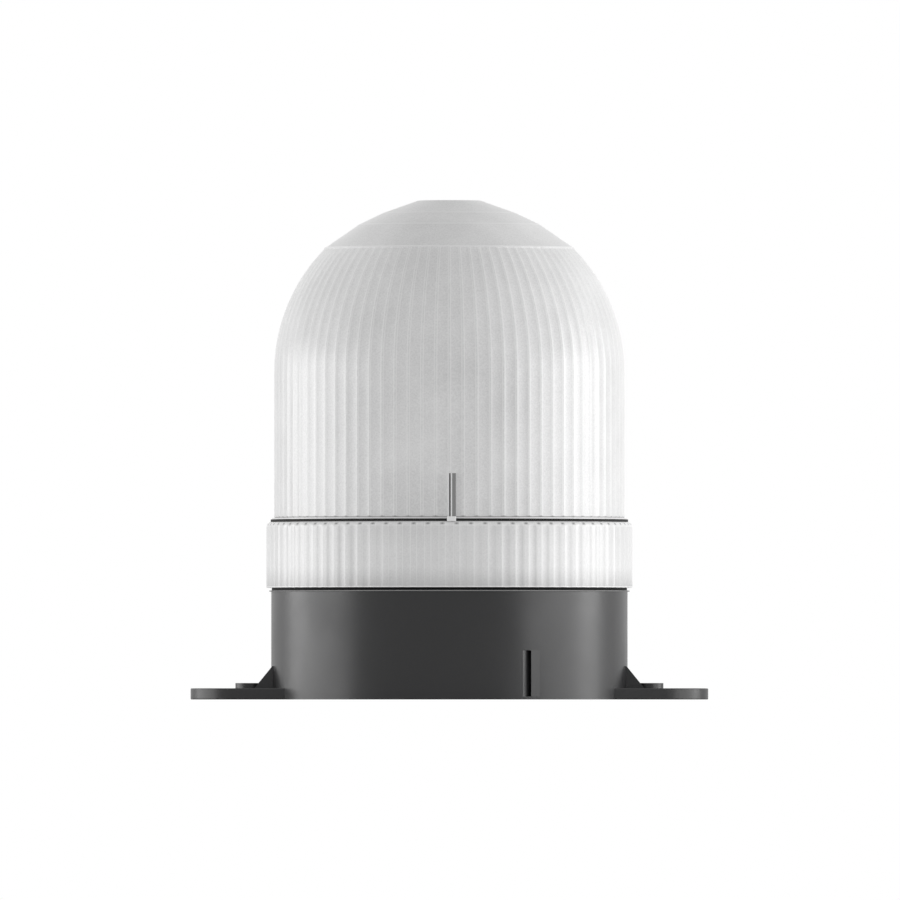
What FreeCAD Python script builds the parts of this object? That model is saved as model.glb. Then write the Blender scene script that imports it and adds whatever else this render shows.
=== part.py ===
import FreeCAD, Part
import Sketcher
import math
import operator
import os

V = FreeCAD.Vector

# Driving dimensions in millimetres and degrees
SIZES = {
    # Base moulding, read off the outline of the photograph
    "base_radius": "47.7",
    "base_height": "29.2",
    "base_wall": "2.0",
    "base_edge": "0.3",
    "floor_thickness": "3.0",
    # Mounting ears, reached from the base wall
    "ear_length": "21.6",
    "ear_tip_radius": "15.0",
    "ear_root_half": "18.4",
    "ear_root_inset": "4.0",
    "ear_thickness": "3.0",
    "ear_edge": "0.2",
    "ear_boss_radius": "4.3",
    "ear_boss_height": "1.4",
    "ear_hole_reach": "5.3",
    "ear_hole_radius": "2.25",
    "gusset_reach": "4.5",
    "gusset_top": "8.9",
    "gusset_outer": "8.4",
    "gusset_thickness": "2.0",
    "gusset_root": "0.25",
    # Pull-off pocket in the base wall, with a slight ramp beside it
    "ramp_height": "13.1",
    "ramp_lift": "0.8",
    "ramp_edge": "21.8",
    "ramp_foot": "24.1",
    "ramp_proud": "0.3",
    "pocket_start": "19.6",
    "pocket_depth": "1.2",
    # Underside of the base
    "gasket_inset": "5.7",
    "gasket_width": "3.0",
    "gasket_thickness": "1.5",
    "cable_hole_radius": "8.0",
    "cable_seat_radius": "11.0",
    "cable_seat_depth": "1.2",
    "cable_radius": "4.0",
    "grommet_flange": "10.6",
    "grommet_collar": "1.4",
    "grommet_gap": "0.1",
    # Bayonet, the same at both seams
    "bayonet_count": "3",
    "bayonet_turn": "30.0",
    "hook_sweep": "30.0",
    "hook_reach": "1.5",
    "hook_thickness": "2.0",
    "hook_gap": "0.2",
    "tab_sweep": "28.0",
    "tab_thickness": "2.0",
    "skirt_gap": "0.3",
    "tab_gap": "0.4",
    "skirt_tail": "0.6",
    "stop_sweep": "3.0",
    "stop_gap": "0.6",
    # Collar module
    "collar_overhang": "1.3",
    "collar_height": "17.55",
    "collar_wall": "2.1",
    "collar_round": "1.5",
    "collar_round_steps": "3",
    "collar_foot_edge": "0.4",
    "shelf_thickness": "2.0",
    "collar_skirt_wall": "1.7",
    "boss_inset": "2.8",
    "boss_radius": "3.0",
    "boss_drop": "4.0",
    # Seals
    "seal_thickness": "0.8",
    "seal_overhang": "0.9",
    "seal_lip": "0.4",
    "seal_gap_inset": "0.6",
    "dome_seal_thickness": "0.7",
    "dome_seal_overhang": "0.6",
    "seal_stretch": "0.05",
    # Dome
    "dome_step": "2.1",
    "dome_wall": "3.2",
    "dome_straight": "39.0",
    "flange_overhang": "0.6",
    "flange_height": "0.5",
    "flute_count": "80",
    "flute_ratio": "0.006",
    "flute_bands": "6",
    "crown_angle": "45.0",
    "crown_step": "11.5",
    "crown_steps": "3",
    "crown_inset": "0.3",
    "crown_dip": "0.45",
    "crown_rim": "0.3",
    "ceiling_facets": "5",
    # Index rib on the front of the dome
    "index_width": "2.3",
    "index_offset": "0.63",
    "index_proud": "1.4",
    "index_height": "11.5",
    "index_bevel": "0.5",
    "index_foot_drop": "1.1",
    "index_foot_gap": "0.2",
    "index_foot_thickness": "0.6",
    # Circuit boards and their screws
    "board_thickness": "1.6",
    "screw_count": "3",
    "post_circle": "30.0",
    "post_radius": "3.2",
    "screw_radius": "1.2",
    "screw_gap": "0.05",
    "screw_depth": "4.5",
    "screw_head_radius": "2.4",
    "screw_head_height": "1.6",
    "board_hole_radius": "1.45",
    "base_post_height": "5.0",
    "terminal_board_radius": "38.0",
    "wire_hole_radius": "9.0",
    # Terminal block
    "terminal_margin": "1.0",
    "terminal_depth": "10.0",
    "terminal_height": "11.0",
    "terminal_place": "22.0",
    "terminal_pitch": "5.5",
    "terminal_poles": "4",
    "terminal_mouth": "4.2",
    "terminal_mouth_depth": "7.0",
    "terminal_mouth_lift": "1.6",
    "terminal_screw_radius": "1.7",
    "terminal_screw_well": "1.85",
    "clamp_wall": "0.6",
    "clamp_gap": "0.1",
    # Contacts between the base and the collar module
    "contact_circle": "20.0",
    "contact_pitch": "5.0",
    "contact_count": "3",
    "contact_block_width": "9.0",
    "contact_clearance": "2.9",
    "contact_margin": "3.5",
    "contact_lead": "12.0",
    "spring_width": "2.4",
    "spring_radius": "2.0",
    "spring_strip": "0.4",
    "spring_seat": "0.5",
    "spring_gap": "0.1",
    "ring_width": "2.4",
    "ring_thickness": "0.5",
    # Module carrier in the collar
    "carrier_gap": "0.3",
    "carrier_thickness": "2.0",
    "carrier_rim_height": "3.0",
    "carrier_rim_width": "2.0",
    "carrier_hub_radius": "17.5",
    "carrier_hub_depth": "3.0",
    "carrier_post_height": "4.0",
    "lead_hole_radius": "5.0",
    "driver_board_outer": "38.0",
    "driver_board_inner": "20.0",
    "driver_circle": "29.0",
    "capacitor_radius": "5.0",
    "capacitor_height": "13.0",
    "choke_radius": "5.0",
    "choke_core_radius": "2.4",
    "choke_flange": "1.0",
    "choke_height": "8.0",
    "choke_winding_radius": "4.6",
    "chip_side": "8.0",
    "chip_height": "1.8",
    "rectifier_length": "8.0",
    "rectifier_width": "5.0",
    "rectifier_height": "6.0",
    "varistor_radius": "4.0",
    "varistor_thickness": "2.6",
    # Light tower
    "tower_flats": "22.0",
    "tower_foot_radius": "18.0",
    "tower_foot_height": "2.5",
    "tower_screw_circle": "15.0",
    "strip_width": "10.0",
    "strip_thickness": "1.0",
    "strip_lift": "6.0",
    "strip_length": "50.0",
    "strip_margin": "2.0",
    "tower_sides": "6",
    "lamp_side": "3.0",
    "lamp_height": "1.2",
    "lamps_in_strip": "5",
    "lamp_pitch": "10.0",
    "top_board_radius": "10.6",
    "top_lamp_circle": "7.0",
    "top_lamp_count": "6",
}

doc = FreeCAD.newDocument("dome_beacon")
sheet = doc.addObject("Spreadsheet::Sheet", "Sizes")
for row, (size_name, size_text) in enumerate(SIZES.items(), start=1):
    sheet.set("A%d" % row, size_name)
    sheet.set("B%d" % row, size_text)
    sheet.setAlias("B%d" % row, size_name)
doc.recompute()


class Size:
    """A value together with the sheet expression that it comes from."""

    def __init__(self, value, text):
        self.value = float(value)
        self.text = text

    def joined(self, sign, act, other, swapped=False):
        if not isinstance(other, Size):
            other = Size(other, "%.9f" % other)
        first, second = (other, self) if swapped else (self, other)
        return Size(act(first.value, second.value), "(%s %s %s)" % (first.text, sign, second.text))

    def __add__(self, other):
        return self.joined("+", operator.add, other)

    def __sub__(self, other):
        return self.joined("-", operator.sub, other)

    def __rsub__(self, other):
        return self.joined("-", operator.sub, other, swapped=True)

    def __mul__(self, other):
        return self.joined("*", operator.mul, other)

    def __truediv__(self, other):
        return self.joined("/", operator.truediv, other)

    def __neg__(self):
        return self.joined("-", operator.sub, 0.0, swapped=True)


class Sheet:
    """Reads a size from the sheet by its name."""

    def __getattr__(self, name):
        return Size(sheet.get(name), "Sizes.%s" % name)


d = Sheet()
ZERO = Size(0.0, "0")


def whole(size):
    return int(round(size.value))


def turned_by(size, angle):
    """The two components of a length that points along an angle in degrees."""
    return size * math.cos(math.radians(angle)), size * math.sin(math.radians(angle))


def polar_angles(count, first=0.0):
    return [first + 360.0 * index / count for index in range(count)]


# Levels, from the mounting face up
collar_floor = d.base_height + d.seal_thickness
shelf_top = collar_floor + d.shelf_thickness
collar_top = collar_floor + d.collar_height
dome_floor = collar_top + d.dome_seal_thickness
flange_top = dome_floor + d.flange_height
dome_centre = flange_top + d.dome_straight
terminal_board_floor = d.floor_thickness + d.base_post_height
terminal_board_top = terminal_board_floor + d.board_thickness
carrier_top = shelf_top + d.carrier_thickness
driver_board_floor = carrier_top + d.carrier_post_height
driver_board_top = driver_board_floor + d.board_thickness
tower_height = d.strip_lift + d.strip_length + d.strip_margin
tower_top = carrier_top + tower_height
hub_floor = shelf_top - d.carrier_hub_depth
contact_block_top = hub_floor - d.contact_clearance

# Radii that follow from the base, its walls and the bayonet gaps
collar_radius = d.base_radius + d.collar_overhang
dome_radius = collar_radius - d.dome_step
flange_radius = dome_radius + d.flange_overhang
dome_seal_radius = flange_radius + d.dome_seal_overhang
base_inner = d.base_radius - d.base_wall
collar_skirt_outer = base_inner - d.hook_reach - d.skirt_gap
collar_skirt_inner = collar_skirt_outer - d.collar_skirt_wall
boss_circle = collar_skirt_inner - d.boss_inset
collar_inner = collar_radius - d.collar_wall
dome_skirt_outer = collar_inner - d.hook_reach - d.skirt_gap
dome_inner = dome_radius - d.dome_wall
gasket_radius = d.base_radius - d.gasket_inset
ear_hole_place = d.base_radius + d.ear_hole_reach
spring_top = shelf_top - d.ring_thickness - d.spring_gap

# Directions in degrees of the first screw of each board, the bayonet hooks and the driver parts
POST_START = 90.0
BOSS_START = 30.0
HOOK_START = 60.0
CAPACITOR_SIDE = 150.0
CHOKE_SIDE = 30.0
RECTIFIER_SIDE = 0.0
VARISTOR_SIDE = 180.0
FRONT = 270.0

# The ring of the cap that lies a little lower than the round form
MIDDLE_FACET = 2

# A first direction for the ear's flanks, which the sketch then makes tangent
FLANK_START = 72.5


def bind(item, path, size):
    item.setExpression(path, size.text)


def place(item, x, y, z, turn=None):
    item.Placement = FreeCAD.Placement(V(x.value, y.value, z.value), turn or FreeCAD.Rotation())
    bind(item, "Placement.Base.x", x)
    bind(item, "Placement.Base.y", y)
    bind(item, "Placement.Base.z", z)
    return item


def about_z(angle):
    return FreeCAD.Rotation(V(0, 0, 1), angle)


def cylinder(name, radius, height, x=ZERO, y=ZERO, z=ZERO, turn=None):
    item = doc.addObject("Part::Cylinder", name)
    bind(item, "Radius", radius)
    bind(item, "Height", height)
    return place(item, x, y, z, turn)


def hexagon(name, radius, height, x, y, z):
    item = doc.addObject("Part::Prism", name)
    item.Polygon = 6
    bind(item, "Circumradius", radius)
    bind(item, "Height", height)
    return place(item, x, y, z)


def block(name, length, width, height, x=ZERO, y=ZERO, z=ZERO, angle=0.0):
    """A box whose underside is centred on x, y at height z, turned about the vertical."""
    item = doc.addObject("Part::Box", name)
    bind(item, "Length", length)
    bind(item, "Width", width)
    bind(item, "Height", height)
    along_x, along_y = turned_by(length / 2, angle)
    across_x, across_y = turned_by(width / 2, angle + 90.0)
    return place(item, x - along_x - across_x, y - along_y - across_y, z, about_z(angle))


def cut(name, base, *tools):
    item = doc.addObject("Part::Cut", name)
    item.Base = base
    item.Tool = tools[0] if len(tools) == 1 else fuse(name + "_tools", *tools)
    return item


def fuse(name, *pieces):
    item = doc.addObject("Part::MultiFuse", name)
    item.Shapes = list(pieces)
    item.Refine = True
    return item


def group(name, *pieces):
    item = doc.addObject("Part::Compound", name)
    item.Links = list(pieces)
    return item


def ring(name, outer, inner, height, z, x=ZERO, y=ZERO):
    disc = cylinder(name + "_disc", outer, height, x, y, z)
    return cut(name, disc, cylinder(name + "_bore", inner, height, x, y, z))


def ring_sector(name, outer, inner, height, z, start, sweep):
    """A stretch of ring that begins at an angle and runs anticlockwise."""
    wedge = cylinder(name + "_wedge", outer, height, z=z, turn=about_z(start))
    bind(wedge, "Angle", sweep)
    return cut(name, wedge, cylinder(name + "_core", inner, height, z=z))


def origin_plane(body, role):
    return next(item for item in body.Origin.OriginFeatures if item.Role == role)


def attached_sketch(body, name, role, lift=None):
    sketch = body.newObject("Sketcher::SketchObject", name)
    sketch.AttachmentSupport = [(origin_plane(body, role), "")]
    sketch.MapMode = "FlatFace"
    if lift is not None:
        bind(sketch, "AttachmentOffset.Base.z", lift)
    return sketch


def pin_point(sketch, line, end, x, y):
    """Ties one end of a line to its place, each coordinate bound to the sheet."""
    for kind, axis, size in (("DistanceX", -2, x), ("DistanceY", -1, y)):
        if size is ZERO:
            sketch.addConstraint(Sketcher.Constraint("PointOnObject", line, end, axis))
        else:
            index = sketch.addConstraint(Sketcher.Constraint(kind, -1, 1, line, end, size.value))
            bind(sketch, "Constraints[%d]" % index, size)


def closed_outline(sketch, points):
    count = len(points)
    for index, (x, y) in enumerate(points):
        next_x, next_y = points[(index + 1) % count]
        sketch.addGeometry(Part.LineSegment(V(x.value, y.value, 0), V(next_x.value, next_y.value, 0)), False)
    for index in range(count):
        sketch.addConstraint(Sketcher.Constraint("Coincident", index, 2, (index + 1) % count, 1))
    for index, (x, y) in enumerate(points):
        pin_point(sketch, index, 1, x, y)


def turned(name, points):
    """A body revolved about the vertical from an outline of radius and height."""
    body = doc.addObject("PartDesign::Body", name)
    sketch = attached_sketch(body, name + "_profile", "XZ_Plane")
    closed_outline(sketch, points)
    revolution = body.newObject("PartDesign::Revolution", name + "_revolution")
    revolution.Profile = sketch
    revolution.ReferenceAxis = (sketch, ["V_Axis"])
    revolution.Angle = 360.0
    doc.recompute()
    return body


def extruded(name, role, points, length, lift):
    """A body padded from a closed outline on one of its origin planes."""
    body = doc.addObject("PartDesign::Body", name)
    sketch = attached_sketch(body, name + "_outline", role, lift)
    closed_outline(sketch, points)
    pad = body.newObject("PartDesign::Pad", name + "_pad")
    pad.Profile = sketch
    bind(pad, "Length", length)
    doc.recompute()
    return body


def edges_where(shape, test):
    return ["Edge%d" % (index + 1) for index, edge in enumerate(shape.Edges) if test(edge)]


def bevelled(body, name, size, test):
    """Bevels the edges of a body that pass a test."""
    bevel = body.newObject("PartDesign::Chamfer", name)
    bevel.Base = (bevel.BaseFeature, edges_where(bevel.BaseFeature.Shape, test))
    bind(bevel, "Size", size)
    doc.recompute()
    return body


# Bayonet hooks on a wall, and the tabs of the skirt that turns in under them
def hooks(name, wall_inner, wall, top):
    pieces = []
    floor = top - d.hook_thickness
    root = wall_inner + wall / 2
    tab_floor = floor - d.hook_gap - d.tab_thickness
    for index, angle in enumerate(polar_angles(whole(d.bayonet_count), HOOK_START), start=1):
        start = angle - d.hook_sweep.value / 2
        pieces.append(ring_sector("%s_hook_%d" % (name, index), root, wall_inner - d.hook_reach,
                                  d.hook_thickness, floor, start, d.hook_sweep))
        stop_start = angle - d.tab_sweep.value / 2 - d.stop_gap.value - d.stop_sweep.value
        stop_height = floor + d.hook_thickness / 2 - tab_floor
        pieces.append(ring_sector("%s_stop_%d" % (name, index), root, wall_inner - d.hook_reach,
                                  stop_height, tab_floor, stop_start, d.stop_sweep))
    return pieces


def tabs(name, skirt_outer, skirt_wall, wall_inner, top):
    pieces = []
    floor = top - d.hook_thickness - d.hook_gap - d.tab_thickness
    for index, angle in enumerate(polar_angles(whole(d.bayonet_count), HOOK_START), start=1):
        start = angle - d.tab_sweep.value / 2
        pieces.append(ring_sector("%s_tab_%d" % (name, index), wall_inner - d.tab_gap,
                                  skirt_outer - skirt_wall / 2, d.tab_thickness, floor, start, d.tab_sweep))
    return pieces


def skirt_floor(top):
    return top - d.hook_thickness - d.hook_gap - d.tab_thickness - d.skirt_tail


# Base moulding
def base_shell():
    outer, top, inner = d.base_radius, d.base_height, base_inner
    groove_in, groove_out = gasket_radius - d.gasket_width / 2, gasket_radius + d.gasket_width / 2
    return turned("base_shell", [
        (d.cable_hole_radius, d.cable_seat_depth),
        (d.cable_seat_radius, d.cable_seat_depth),
        (d.cable_seat_radius, ZERO),
        (groove_in, ZERO),
        (groove_in, d.gasket_thickness),
        (groove_out, d.gasket_thickness),
        (groove_out, ZERO),
        (outer, ZERO),
        (outer, top - d.base_edge),
        (outer - d.base_edge, top),
        (inner, top),
        (inner, d.floor_thickness),
        (d.cable_hole_radius, d.floor_thickness),
    ])


def ear_plate():
    """The flat ear: a round tip with two flanks tangent to it that run into the base wall."""
    body = doc.addObject("PartDesign::Body", "ear_plate")
    sketch = attached_sketch(body, "ear_outline", "XY_Plane")
    centre = d.base_radius + d.ear_length - d.ear_tip_radius
    root = d.base_radius - d.ear_root_inset
    tip, half = d.ear_tip_radius, d.ear_root_half
    flank = math.radians(FLANK_START)
    touch = V(centre.value + tip.value * math.cos(flank), tip.value * math.sin(flank), 0)
    circle = Part.Circle(V(centre.value, 0, 0), V(0, 0, 1), tip.value)
    sketch.addGeometry(Part.ArcOfCircle(circle, -flank, flank), False)
    sketch.addGeometry(Part.LineSegment(touch, V(root.value, half.value, 0)), False)
    sketch.addGeometry(Part.LineSegment(V(root.value, half.value, 0), V(root.value, -half.value, 0)), False)
    sketch.addGeometry(Part.LineSegment(V(root.value, -half.value, 0), V(touch.x, -touch.y, 0)), False)
    sketch.addConstraint(Sketcher.Constraint("Tangent", 0, 2, 1, 1))
    sketch.addConstraint(Sketcher.Constraint("Coincident", 1, 2, 2, 1))
    sketch.addConstraint(Sketcher.Constraint("Coincident", 2, 2, 3, 1))
    sketch.addConstraint(Sketcher.Constraint("Tangent", 3, 2, 0, 1))
    pin_point(sketch, 0, 3, centre, ZERO)
    radius_index = sketch.addConstraint(Sketcher.Constraint("Radius", 0, tip.value))
    bind(sketch, "Constraints[%d]" % radius_index, tip)
    pin_point(sketch, 2, 1, root, half)
    pin_point(sketch, 2, 2, root, -half)
    pad = body.newObject("PartDesign::Pad", "ear_pad")
    pad.Profile = sketch
    bind(pad, "Length", d.ear_thickness)
    doc.recompute()
    beyond_root = root.value + tip.value / 2

    def outer_rim(edge):
        flat = edge.BoundBox.ZLength < 0.001
        return flat and edge.CenterOfMass.x > root.value + 1 and edge.BoundBox.XMax > beyond_root
    return bevelled(body, "ear_rim", d.ear_edge, outer_rim)


def gusset(name, lift):
    wall = d.base_radius - d.base_wall / 2
    edge = d.base_radius - d.base_edge
    return extruded(name, "XZ_Plane", [
        (wall, d.ear_thickness - d.ear_edge),
        (d.base_radius + d.gusset_reach, d.ear_thickness - d.ear_edge),
        (d.base_radius + d.gusset_reach, d.ear_thickness),
        (edge, d.gusset_top),
        (wall, d.gusset_top),
    ], d.gusset_thickness, lift)


def gusset_root(name, side):
    """A narrow slanted strip in the corner between a gusset's outer face and the wall."""
    face = d.gusset_outer
    meets = Size(math.sqrt(d.base_radius.value ** 2 - face.value ** 2),
                 "sqrt(%s^2 - %s^2)" % (d.base_radius.text, face.text))
    start = meets - d.gusset_root
    reach = Size(math.sqrt(d.base_radius.value ** 2 - start.value ** 2),
                 "sqrt(%s^2 - (%s)^2)" % (d.base_radius.text, start.text))
    inner = face - d.gusset_thickness / 2
    low = d.ear_thickness / 2
    return extruded(name, "XY_Plane", [
        (start, (reach - d.gusset_root / 4) * side),
        (meets + d.gusset_root, face * side),
        (meets + d.gusset_root, inner * side),
        (start, inner * side),
    ], d.gusset_top - d.gusset_root - low, low)


def ear():
    boss_top = d.ear_thickness + d.ear_boss_height
    near = gusset("gusset_near", d.gusset_outer - d.gusset_thickness)
    far = gusset("gusset_far", -d.gusset_outer)
    boss = cylinder("ear_boss", d.ear_boss_radius, boss_top, x=ear_hole_place)
    roots = [gusset_root("root_near", -1.0), gusset_root("root_far", 1.0)]
    solid = fuse("ear_solid", ear_plate(), boss, near, far, *roots)
    return cut("ear_right", solid, cylinder("ear_hole", d.ear_hole_radius, boss_top, x=ear_hole_place))


def mirrored(name, source):
    item = doc.addObject("Part::Mirroring", name)
    item.Source = source
    item.Normal = V(1, 0, 0)
    return item


def on_wall(x):
    """The front surface of the base wall at a distance from the middle."""
    depth = math.sqrt(d.base_radius.value ** 2 - x.value ** 2)
    return Size(-depth, "-sqrt(%s^2 - (%s)^2)" % (d.base_radius.text, x.text))


def ramp():
    """A slight ramp on the front right of the wall, which ends at the pocket."""
    root = on_wall(d.ramp_foot) + d.base_wall / 2
    return extruded("ramp", "XY_Plane", [
        (d.ramp_edge, root),
        (d.ramp_edge, on_wall(d.ramp_edge) - d.ramp_proud),
        (d.ramp_foot, on_wall(d.ramp_foot)),
        (d.ramp_foot, root),
    ], d.ramp_height - d.ramp_lift, d.ramp_lift)


def pocket():
    """The hollow beside the ramp: its floor slopes in from the wall's face up to the ramp's steep side."""
    outside = -d.base_radius - d.ramp_proud
    return extruded("pocket", "XY_Plane", [
        (d.pocket_start, outside),
        (d.ramp_edge, outside),
        (d.ramp_edge, on_wall(d.ramp_edge) + d.pocket_depth),
        (d.pocket_start, on_wall(d.pocket_start)),
    ], d.ramp_height - d.ramp_lift, d.ramp_lift)


def posts(name, floor, height):
    return [
        cylinder("%s_post_%d" % (name, index), d.post_radius, height, *turned_by(d.post_circle, angle), floor)
        for index, angle in enumerate(polar_angles(whole(d.screw_count), POST_START), start=1)
    ]


def screw_wells(name, circle, top, start):
    """Blind holes for self-tapping screws."""
    floor = top - d.screw_depth
    return [
        cylinder("%s_well_%d" % (name, index), d.screw_radius + d.screw_gap, d.screw_depth,
                 *turned_by(circle, angle), floor)
        for index, angle in enumerate(polar_angles(whole(d.screw_count), start), start=1)
    ]


def base_housing():
    right = ear()
    seat = d.floor_thickness - d.gasket_thickness / 4
    pieces = [base_shell(), right, mirrored("ear_left", right), ramp()]
    pieces += hooks("base", base_inner, d.base_wall, d.base_height)
    pieces += posts("base", seat, terminal_board_floor - seat)
    solid = fuse("base_solid", *pieces)
    wells = screw_wells("base", d.post_circle, terminal_board_floor, POST_START)
    return cut("base_housing", solid, pocket(), *wells)


def mounting_gasket():
    half = d.gasket_width / 2 - d.seal_stretch
    return ring("mounting_gasket", gasket_radius + half, gasket_radius - half, d.gasket_thickness, ZERO)


def cable_grommet():
    neck = d.cable_hole_radius - d.grommet_gap
    top = d.floor_thickness + d.grommet_collar
    return turned("cable_grommet", [
        (d.cable_radius, ZERO),
        (d.grommet_flange, ZERO),
        (d.grommet_flange, d.cable_seat_depth - d.grommet_gap),
        (neck, d.cable_seat_depth - d.grommet_gap),
        (neck, d.floor_thickness),
        (d.grommet_flange, d.floor_thickness),
        (neck, top),
        (d.cable_radius, top),
    ])


def screws(name, circle, seat, start):
    """Hexagon-head screws, seated on what they hold."""
    pieces = []
    for index, angle in enumerate(polar_angles(whole(d.screw_count), start), start=1):
        x, y = turned_by(circle, angle)
        length = d.screw_depth - d.screw_gap
        shank = cylinder("%s_shank_%d" % (name, index), d.screw_radius, length, x, y, seat - length)
        head = hexagon("%s_head_%d" % (name, index), d.screw_head_radius, d.screw_head_height, x, y, seat)
        pieces.append(fuse("%s_%d" % (name, index), shank, head))
    return group(name, *pieces)


def board_holes(name, floor):
    return [
        cylinder("%s_hole_%d" % (name, index), d.board_hole_radius, d.board_thickness,
                 *turned_by(d.post_circle, angle), floor)
        for index, angle in enumerate(polar_angles(whole(d.screw_count), POST_START), start=1)
    ]


def terminal_board():
    disc = cylinder("terminal_disc", d.terminal_board_radius, d.board_thickness, z=terminal_board_floor)
    hole = cylinder("wire_hole", d.wire_hole_radius, d.board_thickness, z=terminal_board_floor)
    return cut("terminal_board", disc, hole, *board_holes("terminal_board", terminal_board_floor))


def terminal_places():
    count = whole(d.terminal_poles)
    return [d.terminal_pitch * (index - (count - 1) / 2) for index in range(count)]


def terminal_block():
    floor = terminal_board_top
    length = d.terminal_pitch * whole(d.terminal_poles) + d.terminal_margin * 2
    body = block("terminal_body", length, d.terminal_depth, d.terminal_height, y=-d.terminal_place, z=floor)
    mouth_y = -d.terminal_place + d.terminal_depth / 2 - d.terminal_mouth_depth / 2
    well_floor = floor + d.terminal_mouth_lift + d.terminal_mouth / 2
    tools = []
    for index, x in enumerate(terminal_places(), start=1):
        tools.append(block("terminal_mouth_%d" % index, d.terminal_mouth, d.terminal_mouth_depth,
                           d.terminal_mouth, x, mouth_y, floor + d.terminal_mouth_lift))
        tools.append(cylinder("terminal_well_%d" % index, d.terminal_screw_well,
                              floor + d.terminal_height - well_floor, x, mouth_y, well_floor))
    return cut("terminal_block", body, *tools)


def terminal_clamps():
    pieces = []
    outer = d.terminal_mouth - d.clamp_gap * 2
    inner = outer - d.clamp_wall * 2
    depth = d.terminal_mouth_depth - d.clamp_gap * 2
    mouth_y = -d.terminal_place + d.terminal_depth / 2 - d.terminal_mouth_depth / 2
    floor = terminal_board_top + d.terminal_mouth_lift
    for index, x in enumerate(terminal_places(), start=1):
        cage = block("clamp_cage_%d" % index, outer, depth, outer, x, mouth_y, floor)
        bore = block("clamp_bore_%d" % index, inner, depth, inner, x, mouth_y, floor + d.clamp_wall)
        pieces.append(cut("clamp_%d" % index, cage, bore))
    return group("terminal_clamps", *pieces)


def terminal_screws():
    mouth_y = -d.terminal_place + d.terminal_depth / 2 - d.terminal_mouth_depth / 2
    floor = terminal_board_top + d.terminal_mouth_lift + d.terminal_mouth - d.clamp_gap * 2
    top = terminal_board_top + d.terminal_height - d.clamp_wall
    return group("terminal_screws", *[
        cylinder("terminal_screw_%d" % index, d.terminal_screw_radius, top - floor, x, mouth_y, floor)
        for index, x in enumerate(terminal_places(), start=1)
    ])


def contact_radii():
    return [d.contact_circle + d.contact_pitch * index for index in range(whole(d.contact_count))]


def contact_block():
    radii = contact_radii()
    length = radii[-1] - radii[0] + d.contact_margin * 2
    middle = (radii[-1] + radii[0]) / 2
    height = contact_block_top - terminal_board_top
    body = block("contact_body", length, d.contact_block_width, height, middle, z=terminal_board_top)
    slots = [
        block("spring_slot_%d" % index, d.spring_width + d.spring_strip, d.spring_radius * 2 + d.spring_strip,
              d.spring_seat, radius, z=contact_block_top - d.spring_seat)
        for index, radius in enumerate(radii, start=1)
    ]
    return cut("contact_block", body, *slots)


def contact_springs():
    """Arched strips, each with two legs that stand in a slot of the block."""
    pieces = []
    foot = contact_block_top - d.spring_seat
    centre = spring_top - d.spring_radius
    inner = d.spring_radius - d.spring_strip
    sideways = FreeCAD.Rotation(V(0, 1, 0), 90)
    for index, radius in enumerate(contact_radii(), start=1):
        side = radius - d.spring_width / 2
        arch = cylinder("arch_%d" % index, d.spring_radius, d.spring_width, side, z=centre, turn=sideways)
        legs = block("legs_%d" % index, d.spring_width, d.spring_radius * 2, centre - foot, radius, z=foot)
        hollow = cylinder("arch_hollow_%d" % index, inner, d.spring_width, side, z=centre, turn=sideways)
        gap = block("leg_gap_%d" % index, d.spring_width, inner * 2, centre - foot, radius, z=foot)
        body = fuse("spring_body_%d" % index, arch, legs)
        pieces.append(cut("contact_spring_%d" % index, body, hollow, gap))
    return group("contact_springs", *pieces)


# Fluted surfaces: shallow scallops side by side round the axis
def hollow_of(ridge):
    """Radius at a third of a flute's width: eight ninths of the depth, as on a parabola."""
    return ridge * (1 - d.flute_ratio.value * 8 / 9)


def fluted_outline(ridge, hollow, z, first):
    """One closed ring of scallops: a ridge, then two points on the hollow of each flute."""
    count = whole(d.flute_count)
    pitch = 360.0 / count
    points = []
    for angle in polar_angles(count, first):
        for share, reach in ((0.0, ridge), (1 / 3, hollow), (2 / 3, hollow)):
            direction = math.radians(angle + share * pitch)
            points.append(V(reach * math.cos(direction), reach * math.sin(direction), z))
    return Part.makePolygon(points + points[:1])


def fluted_solid(name, sections, first):
    """A ruled loft through fluted outlines, given by ridge radius, hollow radius and height."""
    item = doc.addObject("Part::Feature", name)
    outlines = [fluted_outline(ridge, hollow, z, first) for ridge, hollow, z in sections]
    item.Shape = Part.makeLoft(outlines, True, True)
    return item


# Collar: a fluted ring with a shelf, the skirt that turns into the base, and the dome's hooks
def collar_flutes():
    """The flutes run up the wall and die out on the rounding of the top edge."""
    radius, edge, arc = collar_radius.value, d.collar_foot_edge.value, d.collar_round.value
    floor, top = collar_floor.value, collar_top.value
    deep = hollow_of(radius)
    sections = [(radius - edge, min(deep, radius - edge), floor), (radius, deep, floor + edge)]
    steps = whole(d.collar_round_steps)
    for step in range(steps + 1):
        lean = math.radians(90.0 * step / steps)
        ridge = radius - arc + arc * math.cos(lean)
        sections.append((ridge, min(deep, ridge), top - arc + arc * math.sin(lean)))
    return fluted_solid("collar_flutes", sections, FRONT + 180.0 / whole(d.flute_count))


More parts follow.
